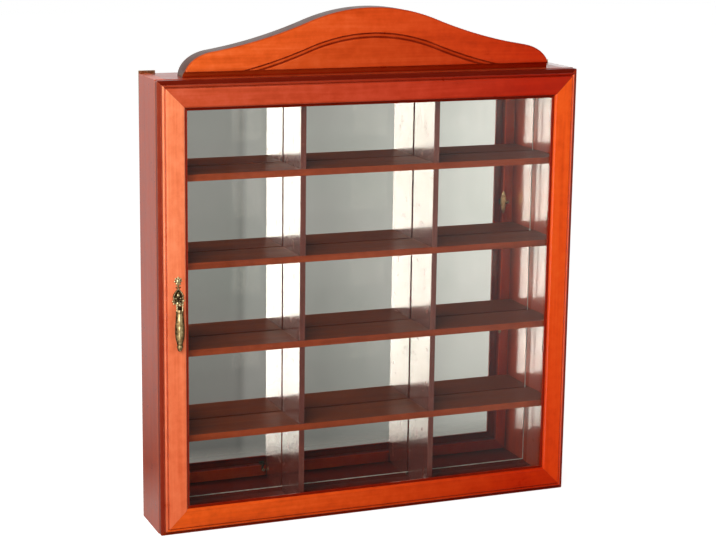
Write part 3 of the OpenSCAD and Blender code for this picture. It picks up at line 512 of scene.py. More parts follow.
def circle(radius, sides):
    """Points of a circle in the plane: (u, v) pairs."""
    angles = [tau * i / sides for i in range(sides)]
    return [(radius * cos(angle), radius * sin(angle)) for angle in angles]


def blob(bm, centre, radii, turn=0.0, sides=14, rows=8):
    """A rounded lump with three radii, turned about y. Sizes in mm."""
    rings = []
    for k in range(rows + 1):
        polar = pi * (0.04 + 0.92 * k / rows)
        ring = []
        for u, v in circle(sin(polar), sides):
            x, z = u * radii[0], cos(polar) * radii[2]
            ring.append((centre[0] + x * cos(turn) + z * sin(turn), centre[1] + v * radii[1],
                         centre[2] + z * cos(turn) - x * sin(turn)))
        rings.append(ring)
    loft(bm, rings)


def lathe(bm, profile, place, axis, sides=28):
    """A turned form. profile holds (distance along the axis, radius) pairs. Sizes in mm."""
    across = [k for k in range(3) if k != axis]
    rings = []
    for along, radius in profile:
        ring = []
        for u, v in circle(radius, sides):
            point = list(place)
            point[axis] += along
            point[across[0]] += u
            point[across[1]] += v
            ring.append(point)
        rings.append(ring)
    loft(bm, rings)


def make_piece(bm, name, materials, body, replaced, crease=38.0):
    """Makes the mesh, drawn in mm, a piece that rides on a body and stands for a CAD node."""
    bmesh.ops.scale(bm, vec=(MM,) * 3, verts=bm.verts)
    bmesh.ops.recalc_face_normals(bm, faces=bm.faces)
    mesh = bpy.data.meshes.new(name)
    bm.to_mesh(mesh)
    bm.free()
    mesh.shade_smooth()
    mesh.set_sharp_from_angle(angle=radians(crease))
    for material in materials:
        mesh.materials.append(material)
    piece = new_object(name, mesh)
    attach(piece, body)
    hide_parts(replaced)


def islands(node):
    """The boxes, in mm, of the separate solids of a CAD node: a list of (low, high)."""
    bm = bmesh.new()
    bm.from_mesh(node.data)
    bmesh.ops.remove_doubles(bm, verts=bm.verts, dist=1e-6)
    left = set(bm.verts)
    boxes = []
    while left:
        stack, group = [left.pop()], []
        while stack:
            group.append(stack.pop())
            near = left.intersection(v for edge in group[-1].link_edges for v in edge.verts)
            left -= near
            stack += near
        boxes.append([[end(v.co[k] for v in group) / MM for k in range(3)] for end in (min, max)])
    bm.free()
    return sorted(boxes)


# Crest

# All in mm. Heights are above the top of the case, and depths are behind the front of the crest.
CREST_X = 3.0
CREST_HALF = 236.0
CREST_HEIGHT = 78.0
CREST_FRONT = -63.8
CREST_BACK = -35.8
ARCH_R = 224.0
SWEEP_R = 575.0
ARCH_SLOPE = radians(21.5)
SWEEP_SLOPE = radians(9.1)
EDGE_ROUND = 2.0
BACK_ROUND = 0.8
COVE_R = 7.0
SHADE_TOP = 11.0
GROOVE_TOP = 29.9
GROOVE_DEPTH = 1.4
BEAD_TOP = 31.5
BEAD_FOOT = 34.9
FIELD_TOP = 36.5
FIELD_SLOPE = 0.7
FIELD_DEPTH = 0.9
CARVE_FOOT = COVE_R / 2
GROOVE_WALL = 0.45
BEAD_DEPTH = 0.15
# Darkness at the outline, painted shade over the cove, and its fall per mm up from the foot
EDGE_DARKNESS = 0.55
COVE_SHADE = 0.3
FOOT_FALL = 0.1


def crest_half():
    """The right half of the crest's outline, from the peak down to the foot: (x, z) points."""
    steps = 36
    peak = CREST_HEIGHT
    points = [(ARCH_R * sin(a), peak - ARCH_R * (1 - cos(a)))
              for a in (ARCH_SLOPE * i / steps for i in range(steps + 1))]
    start = points[-1]
    for i in range(1, steps + 1):
        a = ARCH_SLOPE + (SWEEP_SLOPE - ARCH_SLOPE) * i / steps
        points.append((start[0] + SWEEP_R * (sin(ARCH_SLOPE) - sin(a)),
                       start[1] + SWEEP_R * (cos(ARCH_SLOPE) - cos(a))))
    end = points[-1]
    width = CREST_HALF - end[0]
    share = tan(SWEEP_SLOPE) * width / end[1]
    reach = acos(share / (1 - share))
    a_half = width / (1 - cos(reach))
    b_half = end[1] / sin(reach)
    for i in range(1, steps + 1):
        t = reach * (1 - i / steps)
        points.append((CREST_HALF - a_half * (1 - cos(t)), b_half * sin(t)))
    return points


def height_at(half, places):
    """The height of the crest's outline at places along x."""
    xs, zs = zip(*half)
    return numpy.interp(abs(places), xs, zs)


def crest_rows(half):
    """The outline, and the lines that the crest's front is divided along: lists of (x, z)."""
    whole = [(-x, z) for x, z in reversed(half[1:])] + half
    rows = []
    for inset in (0.12, 0.4, 0.8, 1.35, EDGE_ROUND):
        row = []
        for (x0, z0), (x, z), (x1, z1) in zip(whole, whole[1:], whole[2:]):
            length = hypot(x1 - x0, z1 - z0)
            x += (z1 - z0) / length * inset
            z -= (x1 - x0) / length * inset
            if z > 0.4:
                row.append((x, z))
        rows.append([(row[0][0], 0.0), *row, (row[-1][0], 0.0)])
    spots = numpy.linspace(-CREST_HALF, CREST_HALF, 241)
    heights = height_at(half, spots)
    for drop, steps in ((GROOVE_TOP, (0.0, 0.3, 0.65, 1.0)), (BEAD_TOP, (0.0, 0.4, 1.0, 1.8, 2.6, 3.2)),
                        (BEAD_FOOT, (0.0, 0.3, 0.7, 1.0)), (FIELD_TOP, (0.0, 0.3, FIELD_SLOPE, 1.6))):
        for step in steps:
            lowered = zip(spots.tolist(), (heights - (drop + step)).tolist())
            rows.append([(x, z) for x, z in lowered if z > CARVE_FOOT])
    end = CREST_HALF - 3.0
    for level in (0.7, 1.3, 1.9, 2.6, CARVE_FOOT, 4.4, 5.2, 5.9, 6.5, COVE_R, 7.8, 9.2, SHADE_TOP):
        rows.append([(x, level) for x in numpy.linspace(-end, end, 60).tolist()])
    return whole, rows


def carving(drop):
    """(depth, darkness) of the carving, by the drop under the outline: painted shade with stain."""
    if drop < BEAD_TOP:
        into = drop - GROOVE_TOP
        return GROOVE_DEPTH * min(1.0, into / GROOVE_WALL), 0.96 * min(1.0, into / 0.3)
    if drop < BEAD_FOOT:
        middle, half_w = (BEAD_TOP + BEAD_FOOT) / 2, (BEAD_FOOT - BEAD_TOP) / 2
        across = abs(drop - middle) / half_w
        fall = 1 - sqrt(max(0.0, 1 - across ** 2))
        # Painted shade across the bead: lighter on its crown, darker on its flanks.
        return BEAD_DEPTH + (GROOVE_DEPTH - BEAD_DEPTH) * fall, 0.25 + 0.65 * across ** 3
    if drop < FIELD_TOP:
        return GROOVE_DEPTH, 0.94
    rise = min(1.0, (drop - FIELD_TOP) / FIELD_SLOPE)
    return GROOVE_DEPTH + (FIELD_DEPTH - GROOVE_DEPTH) * rise, 0.18 + 0.62 * (1 - rise)


def crest_surface(z, edge, height):
    """(depth, darkness) of the crest's front, the darkness being stain with painted shade; edge is the
    distance to the outline and height that outline's height."""
    depth, dark = 0.0, 0.0
    if edge < EDGE_ROUND:
        depth = EDGE_ROUND - sqrt(EDGE_ROUND ** 2 - (EDGE_ROUND - edge) ** 2)
        dark = EDGE_DARKNESS * (1 - edge / EDGE_ROUND)
    if z < COVE_R:
        depth = max(depth, sqrt(COVE_R ** 2 - z ** 2))
    # Painted shade over the cove, darker towards the foot.
    if z < SHADE_TOP:
        fade = min(1.0, (SHADE_TOP - z) / (SHADE_TOP - COVE_R))
        dark = max(dark, COVE_SHADE * fade, 1.0 - FOOT_FALL * z)
    drop = height - z
    if z >= CARVE_FOOT - 0.01 and drop >= GROOVE_TOP:
        carved, shade = carving(drop)
        if carved > depth or z >= COVE_R:
            dark = max(dark, shade)
        depth = max(depth, carved)
    return depth, dark


def edge_distances(points, whole):
    """The distance of each point to the outline."""
    line = numpy.array(whole)
    run = numpy.diff(line, axis=0)
    away = points[:, None] - line[:-1]
    share = ((away * run).sum(axis=2) / (run ** 2).sum(axis=1)).clip(0.0, 1.0)
    return numpy.sqrt(((away - run * share[..., None]) ** 2).sum(axis=2)).min(axis=1)


def close_crest(bm, stain_and_shade, base):
    """Adds the crest's edge, rounded at the back, and its flat back."""
    shown = set(bm.faces)
    border = [edge for edge in bm.edges if len(edge.link_faces) == 1]
    for place, shrink in ((CREST_BACK - BACK_ROUND, 0.0), (CREST_BACK, BACK_ROUND)):
        drawn = bmesh.ops.extrude_edge_only(bm, edges=border)["geom"]
        for vert in (g for g in drawn if isinstance(g, bmesh.types.BMVert)):
            across = vert.co.x - CREST_X
            vert.co.y = place
            vert.co.x -= copysign(min(shrink, abs(across)), across)
            vert.co.z -= shrink if vert.co.z > base + shrink else 0.0
            vert[stain_and_shade] = 0.0
        border = [g for g in drawn if isinstance(g, bmesh.types.BMEdge) and len(g.link_faces) == 1]
    shown.update(bmesh.ops.contextual_create(bm, geom=border)["faces"])
    for face in bm.faces:
        face.material_index = 0 if face in shown else 1


def make_crest():
    """The crest board, with a rounded edge, a cove, two carved lines, a bead and a sunk field."""
    half = crest_half()
    whole, rows = crest_rows(half)
    points = [Vector(p) for p in whole]
    outline = list(range(len(points)))
    edges = []
    for row in rows:
        first = len(points)
        points += [Vector(p) for p in row]
        edges += [(i, i + 1) for i in range(first, len(points) - 1)]
    verts, _, faces, *_ = geometry.delaunay_2d_cdt(points, edges, [outline[::-1]], 1, 0.01)
    flat = numpy.array([tuple(v) for v in verts])
    heights = height_at(half, flat[:, 0])

    bm = bmesh.new()
    stain_and_shade = bm.verts.layers.float.new("stain_and_shade")
    base = CASE_TOP_Z / MM
    front = []
    for (x, z), edge, height in zip(flat, edge_distances(flat, whole), heights):
        depth, dark = crest_surface(z, edge, height)
        vert = bm.verts.new((CREST_X + x, CREST_FRONT + depth, base + z))
        vert[stain_and_shade] = dark
        front.append(vert)
    for face in faces:
        bm.faces.new([front[i] for i in face])
    close_crest(bm, stain_and_shade, base)
    look = wood("cherry_crest_board", ALONG_X, ORANGE, 15, **CREST_LOOK)
    edge_look = wood("umber_crest_edge", ALONG_X, UMBER, 16, ior=1.28, coat=0.0)
    make_piece(bm, "crest_board", [look, edge_look], "cabinet", "crest")


# Mirror

# The silver seems to lie two thirds into the glass, and its bevel seems half as steep.
SILVER_Y = -4.0
SILVER_EDGE_Y = -3.48
MIRROR_BACK_Y = -3.0
BEVEL_W = 5.5
ARRIS_W = 1.2
ARRIS_RISE = 0.02


def make_mirror():
    """The bevelled mirror, drawn where its silver is seen."""
    (x0, _, z0), (x1, _, z1) = ([place / MM for place in end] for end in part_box("mirror_glass"))
    bm = bmesh.new()
    loft(bm, [[(x0 + inset, y, z0 + inset), (x1 - inset, y, z0 + inset),
               (x1 - inset, y, z1 - inset), (x0 + inset, y, z1 - inset)]
              for y, inset in ((MIRROR_BACK_Y, 0.0), (SILVER_EDGE_Y, 0.0), (SILVER_Y, BEVEL_W),
                               (SILVER_Y - ARRIS_RISE, BEVEL_W + ARRIS_W))])
    for face in bm.faces:
        depths = [v.co.y for v in face.verts]
        face.material_index = int(min(depths) < SILVER_Y - ARRIS_RISE / 2 < max(depths))
    make_piece(bm, "mirror_silver", [mirror("mirror_silver"), arris_highlight("mirror_arris")], "cabinet",
               "mirror_glass", crease=1.0)


# Pull

# In mm, about the axis that the drop swings on.
PULL_X = -248.4
PULL_Z = -238.0
DOOR_FRONT_Y = DOOR_FACE_Y / MM
PIVOT_Y = -91.6
PLATE_HALF_W = 6.6
PLATE_H = 28.0
PLATE_DROP = 9.0
PLATE_T = 0.85
PLATE_LEAN = 1.39
TIP_SHRINK = 1.4
# Form of the backplate's edge: (rise, inset).
PLATE_STEPS = ((0.0, 0.0), (0.45, 0.0), (PLATE_T, 0.3), (PLATE_T, 1.15), (0.3, 1.5))
PEARL_INSET = 0.75
PEARL_SPACING = 1.45
PEARL_RADII = (0.66, 0.62, 0.66)
PALMETTE_Z = 27.7
# Petals of the palmette: (angle from the right in degrees, length, half width).
PETALS = ((90, 5.3, 1.15), (38, 5.2, 1.05), (142, 5.2, 1.05), (-8, 5.2, 1.05), (188, 5.2, 1.05),
          (-58, 5.9, 0.95), (238, 5.9, 0.95))
# Relief by tarnish: ((x, rise, z), radii, turn). What lies off the middle is mirrored.
PLATE_RELIEF = (
    (0.85, (((0.0, 0.4, 13.2), (0.9, 0.7, 1.7), 0.0), ((0.0, 0.4, -6.0), (1.2, 0.7, 1.6), 0.0),
            ((2.2, 0.4, 19.6), (1.1, 0.7, 0.8), -0.5))),
    (0.1, (((0.0, 0.4, 10.4), (1.7, 1.05, 2.1), 0.0), ((2.8, 0.4, 6.6), (0.9, 0.8, 0.9), 0.0),
            ((6.35, 0.45, 3.4), (1.25, 0.85, 1.7), 0.5), ((5.6, 0.5, 0.6), (1.0, 0.7, 1.3), -0.6),
            ((5.4, 0.45, 6.9), (0.9, 0.7, 1.4), -0.3))),
    (0.45, (((0.0, 0.5, 19.2), (1.5, 0.85, 1.1), 0.0), ((0.0, 0.35, 23.0), (1.4, 0.7, 3.4), 0.0))),
    (0.95, (((0.0, 0.2, PALMETTE_Z), (3.9, 0.45, 3.9), 0.0),)))
# The turned part of the eye bolt: (distance behind the plate's face, radius).
BOLT_FORM = ((16.8, 1.1), (16.6, 1.45), (0.3, 1.45), (0.0, 2.8), (-0.3, 2.8), (-0.75, 2.2),
             (-0.95, 1.2), (-3.2, 1.05), (-4.0, 0.6))
EYE_R = 1.62
EYE_HALF_T = 0.56
EYE_HALF_W = 1.15
EYE_STEPS = 24
EYE_SIDES = 14


def lancet(inset):
    """The pointed oval of the backplate, shrunk by inset: (x, z) points."""
    steps = 30
    side = []
    for i in range(steps + 1):
        t = i / steps
        side.append((PLATE_HALF_W * sin(pi * t ** PLATE_LEAN), PLATE_H * t - PLATE_DROP))
    loop = side + [(-x, z) for x, z in side[-2:0:-1]]
    middle = PLATE_H / 2 - PLATE_DROP
    narrow = 1 - inset / PLATE_HALF_W
    short = 1 - TIP_SHRINK * inset / (PLATE_H / 2)
    return [(x * narrow, middle + (z - middle) * short) for x, z in loop]


def along_loop(loop, spacing):
    """Points at even spacing along a closed loop."""
    closed = loop + loop[:1]
    walked = numpy.cumsum([0.0] + [dist(a, b) for a, b in zip(closed, closed[1:])])
    goals = numpy.linspace(0.0, walked[-1], round(walked[-1] / spacing), endpoint=False)
    return list(zip(*(numpy.interp(goals, walked, places).tolist() for places in zip(*closed))))


def paint(bm, value, known):
    """Sets the darkness of all points but the first known ones: tarnish, and in places painted shade.
    Gives their new count.
    """
    layer = bm.verts.layers.float["tarnish_and_shade"]
    bm.verts.ensure_lookup_table()
    for vert in bm.verts[known:]:
        vert[layer] = value
    return len(bm.verts)


def make_backplate():
    """Beaded pointed plate with a palmette on top, scrolls at the sides and a small boss."""
    bm = bmesh.new()
    bm.verts.layers.float.new("tarnish_and_shade")

    def at(x, rise, z):
        return (PULL_X + x, DOOR_FRONT_Y - rise, PULL_Z + z)

    loft(bm, [[at(x, rise, z) for x, z in lancet(inset)] for rise, inset in PLATE_STEPS])
    known = paint(bm, 0.95, 0)
    for x, z in along_loop(lancet(PEARL_INSET), PEARL_SPACING):
        blob(bm, at(x, PLATE_T, z), PEARL_RADII, sides=10, rows=6)
    known = paint(bm, 0.12, known)
    for tarnish_and_shade, lumps in PLATE_RELIEF:
        for (x, rise, z), radii, turn in lumps:
            for side in (-1, 1) if x else (1,):
                blob(bm, at(side * x, rise, z), radii, side * turn)
        known = paint(bm, tarnish_and_shade, known)
    for angle, length, half_w in PETALS:
        lean = radians(angle)
        middle = length * 0.6
        blob(bm, at(cos(lean) * middle, 0.35, PALMETTE_Z + sin(lean) * middle),
             (half_w, 0.75, length * 0.4), radians(90 - angle))
    blob(bm, at(0.0, 0.6, PALMETTE_Z - 0.3), (2.3, 0.95, 2.6))
    paint(bm, 0.02, known)
    make_piece(bm, "pull_plate_relief", [antique_brass("brass_pull_plate", 21, 0.9, True)], "door",
               "pull_backplate", crease=60.0)


def make_eye_bolt():
    """Eye bolt: flange, neck, rounded eye across the front, and the shank through the stile."""
    bm = bmesh.new()
    lathe(bm, BOLT_FORM, (PULL_X, DOOR_FRONT_Y - PLATE_T, PULL_Z), ALONG_Y)
    rings = []
    for c, s in circle(1.0, EYE_STEPS):
        rings.append([(PULL_X + EYE_HALF_W * v, PIVOT_Y + (EYE_R + EYE_HALF_T * u) * c,
                       PULL_Z + (EYE_R + EYE_HALF_T * u) * s) for u, v in circle(1.0, EYE_SIDES)])
    rows = loft(bm, rings, capped=False)
    bridge(bm, rows[-1], rows[0])
    make_piece(bm, "pull_eye", [antique_brass("brass_pull_eye", 22, 0.7)], "door",
               "pull_eye_bolt", crease=50.0)


# The drop's outline: (height under the pivot, half width, depth to the front, depth to the back).
DROP_FORM = (
    (-5.9, 3.9, 1.5, 1.4), (-6.8, 4.6, 1.8, 1.6), (-8.4, 4.8, 2.0, 1.7), (-10.0, 4.6, 1.9, 1.6),
    (-11.2, 4.6, 1.9, 1.6), (-12.4, 4.7, 2.1, 1.6), (-16.0, 4.9, 2.5, 1.7), (-21.5, 5.3, 2.8, 1.9),
    (-27.5, 5.8, 3.05, 2.0), (-33.3, 5.9, 3.15, 2.1), (-38.3, 5.5, 3.0, 2.0), (-42.3, 4.7, 2.7, 1.8),
    (-45.3, 3.9, 2.4, 1.7), (-47.6, 3.3, 2.1, 1.6), (-48.6, 3.2, 2.0, 1.6), (-49.3, 3.7, 2.1, 1.8),
    (-50.4, 3.9, 2.2, 1.9), (-51.4, 3.7, 2.1, 1.8), (-52.2, 3.1, 2.0, 1.7), (-53.0, 3.0, 2.1, 1.8),
    (-54.0, 2.8, 2.0, 1.7), (-55.1, 2.1, 1.6, 1.4), (-55.8, 1.2, 1.0, 0.9), (-56.2, 0.4, 0.4, 0.4))
# Heights of the dark waists of the drop, and how dark its ridge is. Away from the waists the drop is
# painted darker towards its sides and light on its ridge: painted shade and painted highlight.
DROP_WAISTS = (-10.0, -47.6, -48.6, -52.2, -53.0)
DROP_RIDGE_DARKNESS = 0.24
# The drop's legs: (height, distance from the middle, radius).
LEG_FORM = ((-7.4, 3.35, 0.85), (-6.2, 3.35, 0.9), (-4.5, 3.4, 0.85), (-2.5, 3.4, 0.85),
            (-0.6, 3.4, 0.9), (0.6, 3.4, 0.7))
# Eyelets of the legs and the pin between them: (distance from the middle, radius).
EYELET_FORM = ((2.6, 1.25), (2.75, 1.55), (3.4, 1.7), (4.05, 1.55), (4.2, 1.2))
PIN_FORM = ((-4.7, 0.35), (-4.55, 0.75), (-4.2, 0.9), (4.2, 0.9), (4.55, 0.75), (4.7, 0.35))


def make_drop():
    """The swinging drop: a pin in two rounded legs, and a keeled leaf with a small knob."""
    bm = bmesh.new()
    tarnish_and_shade = bm.verts.layers.float.new("tarnish_and_shade")
    pivot = (PULL_X, PIVOT_Y, PULL_Z)
    outline = circle(1.0, 28)
    rings = []
    for z, half_w, ahead, behind in DROP_FORM:
        ring = []
        for u, v in outline:
            depth = -ahead * (1 - abs(u) ** 1.25) if v > 0 else behind * (1 - abs(u) ** 2.2)
            ring.append((PULL_X + half_w * u, PIVOT_Y + depth, PULL_Z + z))
        rings.append(ring)
    for row, (z, *_) in zip(loft(bm, rings), DROP_FORM):
        waist = 0.75 if z in DROP_WAISTS else 0.0
        for vert, (u, _) in zip(row, outline):
            # Painted shade towards the sides of the drop, and a painted highlight on its ridge.
            edge = min(1.0, abs(u) * 1.1) ** 1.4
            vert[tarnish_and_shade] = max(waist, DROP_RIDGE_DARKNESS + (1 - DROP_RIDGE_DARKNESS) * edge)
    known = len(bm.verts)
    # A block between the legs, painted black: a painted shadow in the gap.
    hollow = ((-3.1, 0.2), (3.1, 0.2), (3.1, 1.1), (-3.1, 1.1))
    loft(bm, [[(PULL_X + x, PIVOT_Y + y, PULL_Z + z) for x, y in hollow] for z in (-6.6, -2.5)])
    paint(bm, 1.0, known)
    for side in (-1, 1):
        loft(bm, [[(PULL_X + side * reach + u * radius, PIVOT_Y + v * 1.1, PULL_Z + z)
                   for u, v in circle(1.0, 14)] for z, reach, radius in LEG_FORM])
        lathe(bm, [(side * along, radius) for along, radius in EYELET_FORM], pivot, ALONG_X)
    lathe(bm, PIN_FORM, pivot, ALONG_X, 20)
    make_piece(bm, "pull_drop_leaf", [antique_brass("brass_pull_drop", 23, 0.9, True)], "pull",
               "pull_drop", crease=70.0)


# Glass clips

# All in mm.
CLIP_HALF_LEN = 16.0
CLIP_HALF_W = 4.2
CLIP_GAP = 0.2
CLIP_TAB_HALF_W = 2.3
CLIP_LEG_HALF_W = 3.5
CLIP_SCREW_REACH = 6.0
CLIP_FOOT = 3.0
CLIP_T = 0.8
GLASS_BACK_Y = -76.8
DOOR_BACK_Y = -69.4
REBATE_X = 244.2
REBATE_FOOT_Z = -497.7
REBATE_TOP_Z = -3.3
# The domed plate of a stile's clip: (rise, growth).
OVAL_STEPS = ((0.0, 0.97), (0.3, 1.0), (0.55, 0.96), (0.72, 0.8), (0.8, 0.45))
RAIL_CLIP_X = 93.0
STILE_CLIP_Z = 82.5
# Each clip: (x, z) on the rebate's wall, the way into the opening, and whether its plate is oval.
CLIP_PLACES = (
    [((side * RAIL_CLIP_X, z), (0.0, way), False)
     for z, way in ((REBATE_FOOT_Z, 1.0), (REBATE_TOP_Z, -1.0)) for side in (-1, 1)]
    + [((-way * REBATE_X, DOOR_MID_Z / MM + side * STILE_CLIP_Z), (way, 0.0), True)
       for way in (1.0, -1.0) for side in (-1, 1)])


def pointed_oval(grow):
    """The outline of a pointed oval plate, scaled by grow: (along, inward) points."""
    steps = 20
    side = [(CLIP_HALF_LEN * t * grow, CLIP_HALF_W * (1 - abs(t) ** 2.5) * grow)
            for t in (2 * i / steps - 1 for i in range(steps + 1))]
    return side + [(u, -v) for u, v in side[-2:0:-1]]


def make_clips():
    """Bent clips that press on the glass, with a tab for a screw, and some with an oval plate."""
    bm = bmesh.new()
    bm.verts.layers.float.new("tarnish_and_shade")
    known = 0
    for (wall_x, wall_z), (in_x, in_z), oval in CLIP_PLACES:
        def at(along, y, inward):
            return (wall_x + in_x * inward - in_z * along, y, wall_z + in_z * inward + in_x * along)

        leg = [(CLIP_GAP + CLIP_FOOT, GLASS_BACK_Y), (CLIP_GAP, GLASS_BACK_Y), (CLIP_GAP, DOOR_BACK_Y + 0.2),
               (CLIP_GAP + 0.25, DOOR_BACK_Y + CLIP_T), (CLIP_GAP + CLIP_T, DOOR_BACK_Y + 0.3),
               (CLIP_GAP + CLIP_T, GLASS_BACK_Y + CLIP_T), (CLIP_GAP + CLIP_FOOT, GLASS_BACK_Y + CLIP_T)]
        loft(bm, [[at(side * CLIP_LEG_HALF_W, y, inward) for inward, y in leg] for side in (-1, 1)])
        tab = [(CLIP_TAB_HALF_W * u, -CLIP_SCREW_REACH + CLIP_TAB_HALF_W * v) for u, v in circle(1.0, 28)
               if v < 0.01]
        tab += [(CLIP_TAB_HALF_W, CLIP_GAP + 0.5), (-CLIP_TAB_HALF_W, CLIP_GAP + 0.5)]
        loft(bm, [[at(along, y, inward) for along, inward in tab]
                  for y in (DOOR_BACK_Y, DOOR_BACK_Y + CLIP_T - 0.05)])
        # The leg and the tab are painted dark: painted shade around the plate.
        known = paint(bm, 0.9, known)
        if oval:
            loft(bm, [[at(along, DOOR_BACK_Y + rise, inward) for along, inward in pointed_oval(grow)]
                      for rise, grow in OVAL_STEPS])
            known = paint(bm, 0.0, known)
    make_piece(bm, "clip_ovals", [antique_brass("brass_clips", 24, 0.05, True)], "door",
               "glass_clips", crease=35.0)


# Screws

# (CAD node, body, slot, y side that the head faces, head height in mm, dome in mm).
SCREWS = (
    ("back_screws", "cabinet", "plated_steel", 1, 1.6, 0.0),
    ("hanging_screws", "cabinet", "antique_brass", 1, 1.4, 0.0),
    ("clip_screws", "door", "antique_brass", 1, 0.25, 0.45),
    ("hinge_case_screws", "cabinet", "antique_brass", -1, 1.2, 0.0),
    ("hinge_door_screws", "door", "antique_brass", 1, 1.2, 0.0),
    ("strike_screw", "door", "plated_steel", 1, 1.2, 0.0))

HEAD_SIDES = 24
CROSS_DEPTH = 0.9
# Half length and half width of a cross recess, as shares of the head's radius
CROSS_SIZE = 0.62
CROSS_ARM = 0.15


def cross(size, arm):
    """The outline of a cross recess: (u, v) points."""
    quarter = [(size, -arm), (size, arm), (arm, arm)]
    points = []
    for c, s in ((1, 0), (0, 1), (-1, 0), (0, -1)):
        points += [(u * c - v * s, u * s + v * c) for u, v in quarter]
    return points


def cut_cross(bm, rim, centre, radius, deep):
    """Closes a head inside its rim, with a cross recess that goes down to y = deep."""
    x, top, z = centre
    size, arm = radius * CROSS_SIZE, radius * CROSS_ARM
    inner = cross(size, arm)
    points = [Vector(p) for p in circle(radius, HEAD_SIDES) + inner]
    loops = (range(HEAD_SIDES), range(HEAD_SIDES, len(points)))
    edges = [(loop[i], loop[(i + 1) % len(loop)]) for loop in loops for i in range(len(loop))]
    flat, _, faces, *_ = geometry.delaunay_2d_cdt(points, edges, [], 0, 1e-5)
    lips = [bm.verts.new((x + p.x, top, z + p.y)) for p in flat[HEAD_SIDES:len(points)]]
    cap = list(rim) + lips
    for face in faces:
        spot = sum((flat[i] for i in face), Vector((0.0, 0.0))) / 3
        near, far = sorted((abs(spot.x), abs(spot.y)))
        if far >= size or near >= arm:
            bm.faces.new([cap[i] for i in face])
    floor = [bm.verts.new((x + u * 0.72, deep, z + v * 0.72)) for u, v in inner]
    bridge(bm, lips, floor)
    bm.faces.new(floor)


def add_screw(bm, low, high, facing, head_t, dome):
    """A screw along y in a box, with a cross recess in its head."""
    radius = (high[0] - low[0]) / 2
    x, z = (low[0] + high[0]) / 2, (low[2] + high[2]) / 2
    top, tip = (high[1], low[1]) if facing > 0 else (low[1], high[1])
    rim = top - facing * dome
    shank_r = radius * 0.5
    profile = [(tip, 0.15), (tip - (tip - rim) * 0.22, shank_r * 0.85), (rim - facing * head_t, shank_r),
               (rim, radius)]
    if dome:
        profile += [(rim + facing * dome * 0.65, radius * 0.88), (top, radius * 0.66)]
    rings = [[(x + u, y, z + v) for u, v in circle(r, HEAD_SIDES)] for y, r in profile]
    rows = loft(bm, rings, capped=False)
    bm.faces.new(rows[0])
    deep = top - facing * min(CROSS_DEPTH, head_t + dome)
    cut_cross(bm, rows[-1], (x, top, z), profile[-1][1], deep)


def make_screws(nodes):
    """Every visible screw gets a turned head with a cross recess."""
    for seed, (name, body, slot, facing, head_t, dome) in enumerate(SCREWS):
        bm = bmesh.new()
        for low, high in islands(nodes[name]):
            add_screw(bm, low, high, facing, head_t, dome)
        if slot == "antique_brass":
            look = antique_brass("brass_" + name, 30 + seed, TARNISH.get(name, SCREW_TARNISH))
        else:
            look = plated_steel("steel_" + name, seed)
        make_piece(bm, name + "_crossed", [look], body, name, crease=30.0)


# Studio

# Soft light on matt surfaces from all sides
SOFT_COLOUR = (1.0, 0.985, 0.965, 1.0)
SOFT_STRENGTH = 0.36
FLOOR_REACH = 8.0
FLOOR_GAP = 0.0003


def make_camera():
    """The camera of the photograph."""
    data = bpy.data.cameras.new("camera")
    data.sensor_width = SENSOR_W
    data.lens = LENS
    data.clip_end = 50.0
    camera = new_object("camera", data)
    place = Matrix.Translation(CAMERA_AT)
    for angle, axis in ((-CAMERA_YAW, "Z"), (90.0 - CAMERA_PITCH, "X"), (CAMERA_ROLL, "Z")):
        place = place @ Matrix.Rotation(radians(angle), 4, axis)
    camera.matrix_world = place
    bpy.context.scene.camera = camera


def band(tree, value, begin, full, full_to, end):
    """1 in the middle of a band of values, with a smooth slope to 0 on each side."""
    return times(tree, remap(tree, value, begin, full, smooth=True),
                 remap(tree, value, end, full_to, smooth=True))


def room_light(tree):
    """What gloss and mirrors see of the studio, by direction in degrees: pale behind and at the
    sides, a bright screen at the front left, and a grey room at the front right."""
    ray = split(tree, add(tree, "ShaderNodeTexCoord").outputs["Generated"])
    degrees = 180.0 / pi
    turn = times(tree, maths(tree, "ARCTAN2", ray["X"], times(tree, ray["Y"], -1.0)), degrees)
    rise = times(tree, maths(tree, "ARCSINE", ray["Z"]), degrees)

    wall = ramp(tree, remap(tree, turn, 10.0, 40.0), [
        (0.0, 0.34), (0.255, 0.35), (0.262, 0.28), (0.27, 0.46), (0.36, 0.45), (0.4, 0.54),
        (0.47, 0.68), (0.52, 0.94), (0.62, 1.08), (1.0, 1.15)])
    fall = ramp(tree, remap(tree, rise, -30.0, 30.0), [
        (0.0, 0.3), (0.2, 0.42), (0.225, 0.62), (0.25, 0.74), (0.31, 0.94), (0.38, 1.0), (0.5, 0.7),
        (0.58, 0.06), (1.0, 0.05)])
    grey = mix(tree, 1.0, wall, fall, "MULTIPLY")
    room = mix(tree, band(tree, turn, -12.0, 4.0, 40.0, 75.0), WHITE, grey)
    back_glow = ramp(tree, remap(tree, rise, -20.0, 10.0), [
        (0.0, 0.03), (0.06, 0.06), (0.12, 0.22), (0.2, 0.38), (0.45, 0.38), (0.62, 0.9), (1.0, 1.0)])
    away = remap(tree, maths(tree, "ABSOLUTE", turn), 110.0, 130.0, smooth=True)
    room = mix(tree, away, room, back_glow)

    lit = times(tree, band(tree, turn, -40.0, -29.0, -14.0, -8.0),
                band(tree, rise, -19.7, -14.4, 22.0, 32.0))
    screen = times(tree, lit, remap(tree, turn, -18.0, -28.0, 5.0, 5.7))
    return mix(tree, 1.0, room, screen, "ADD")


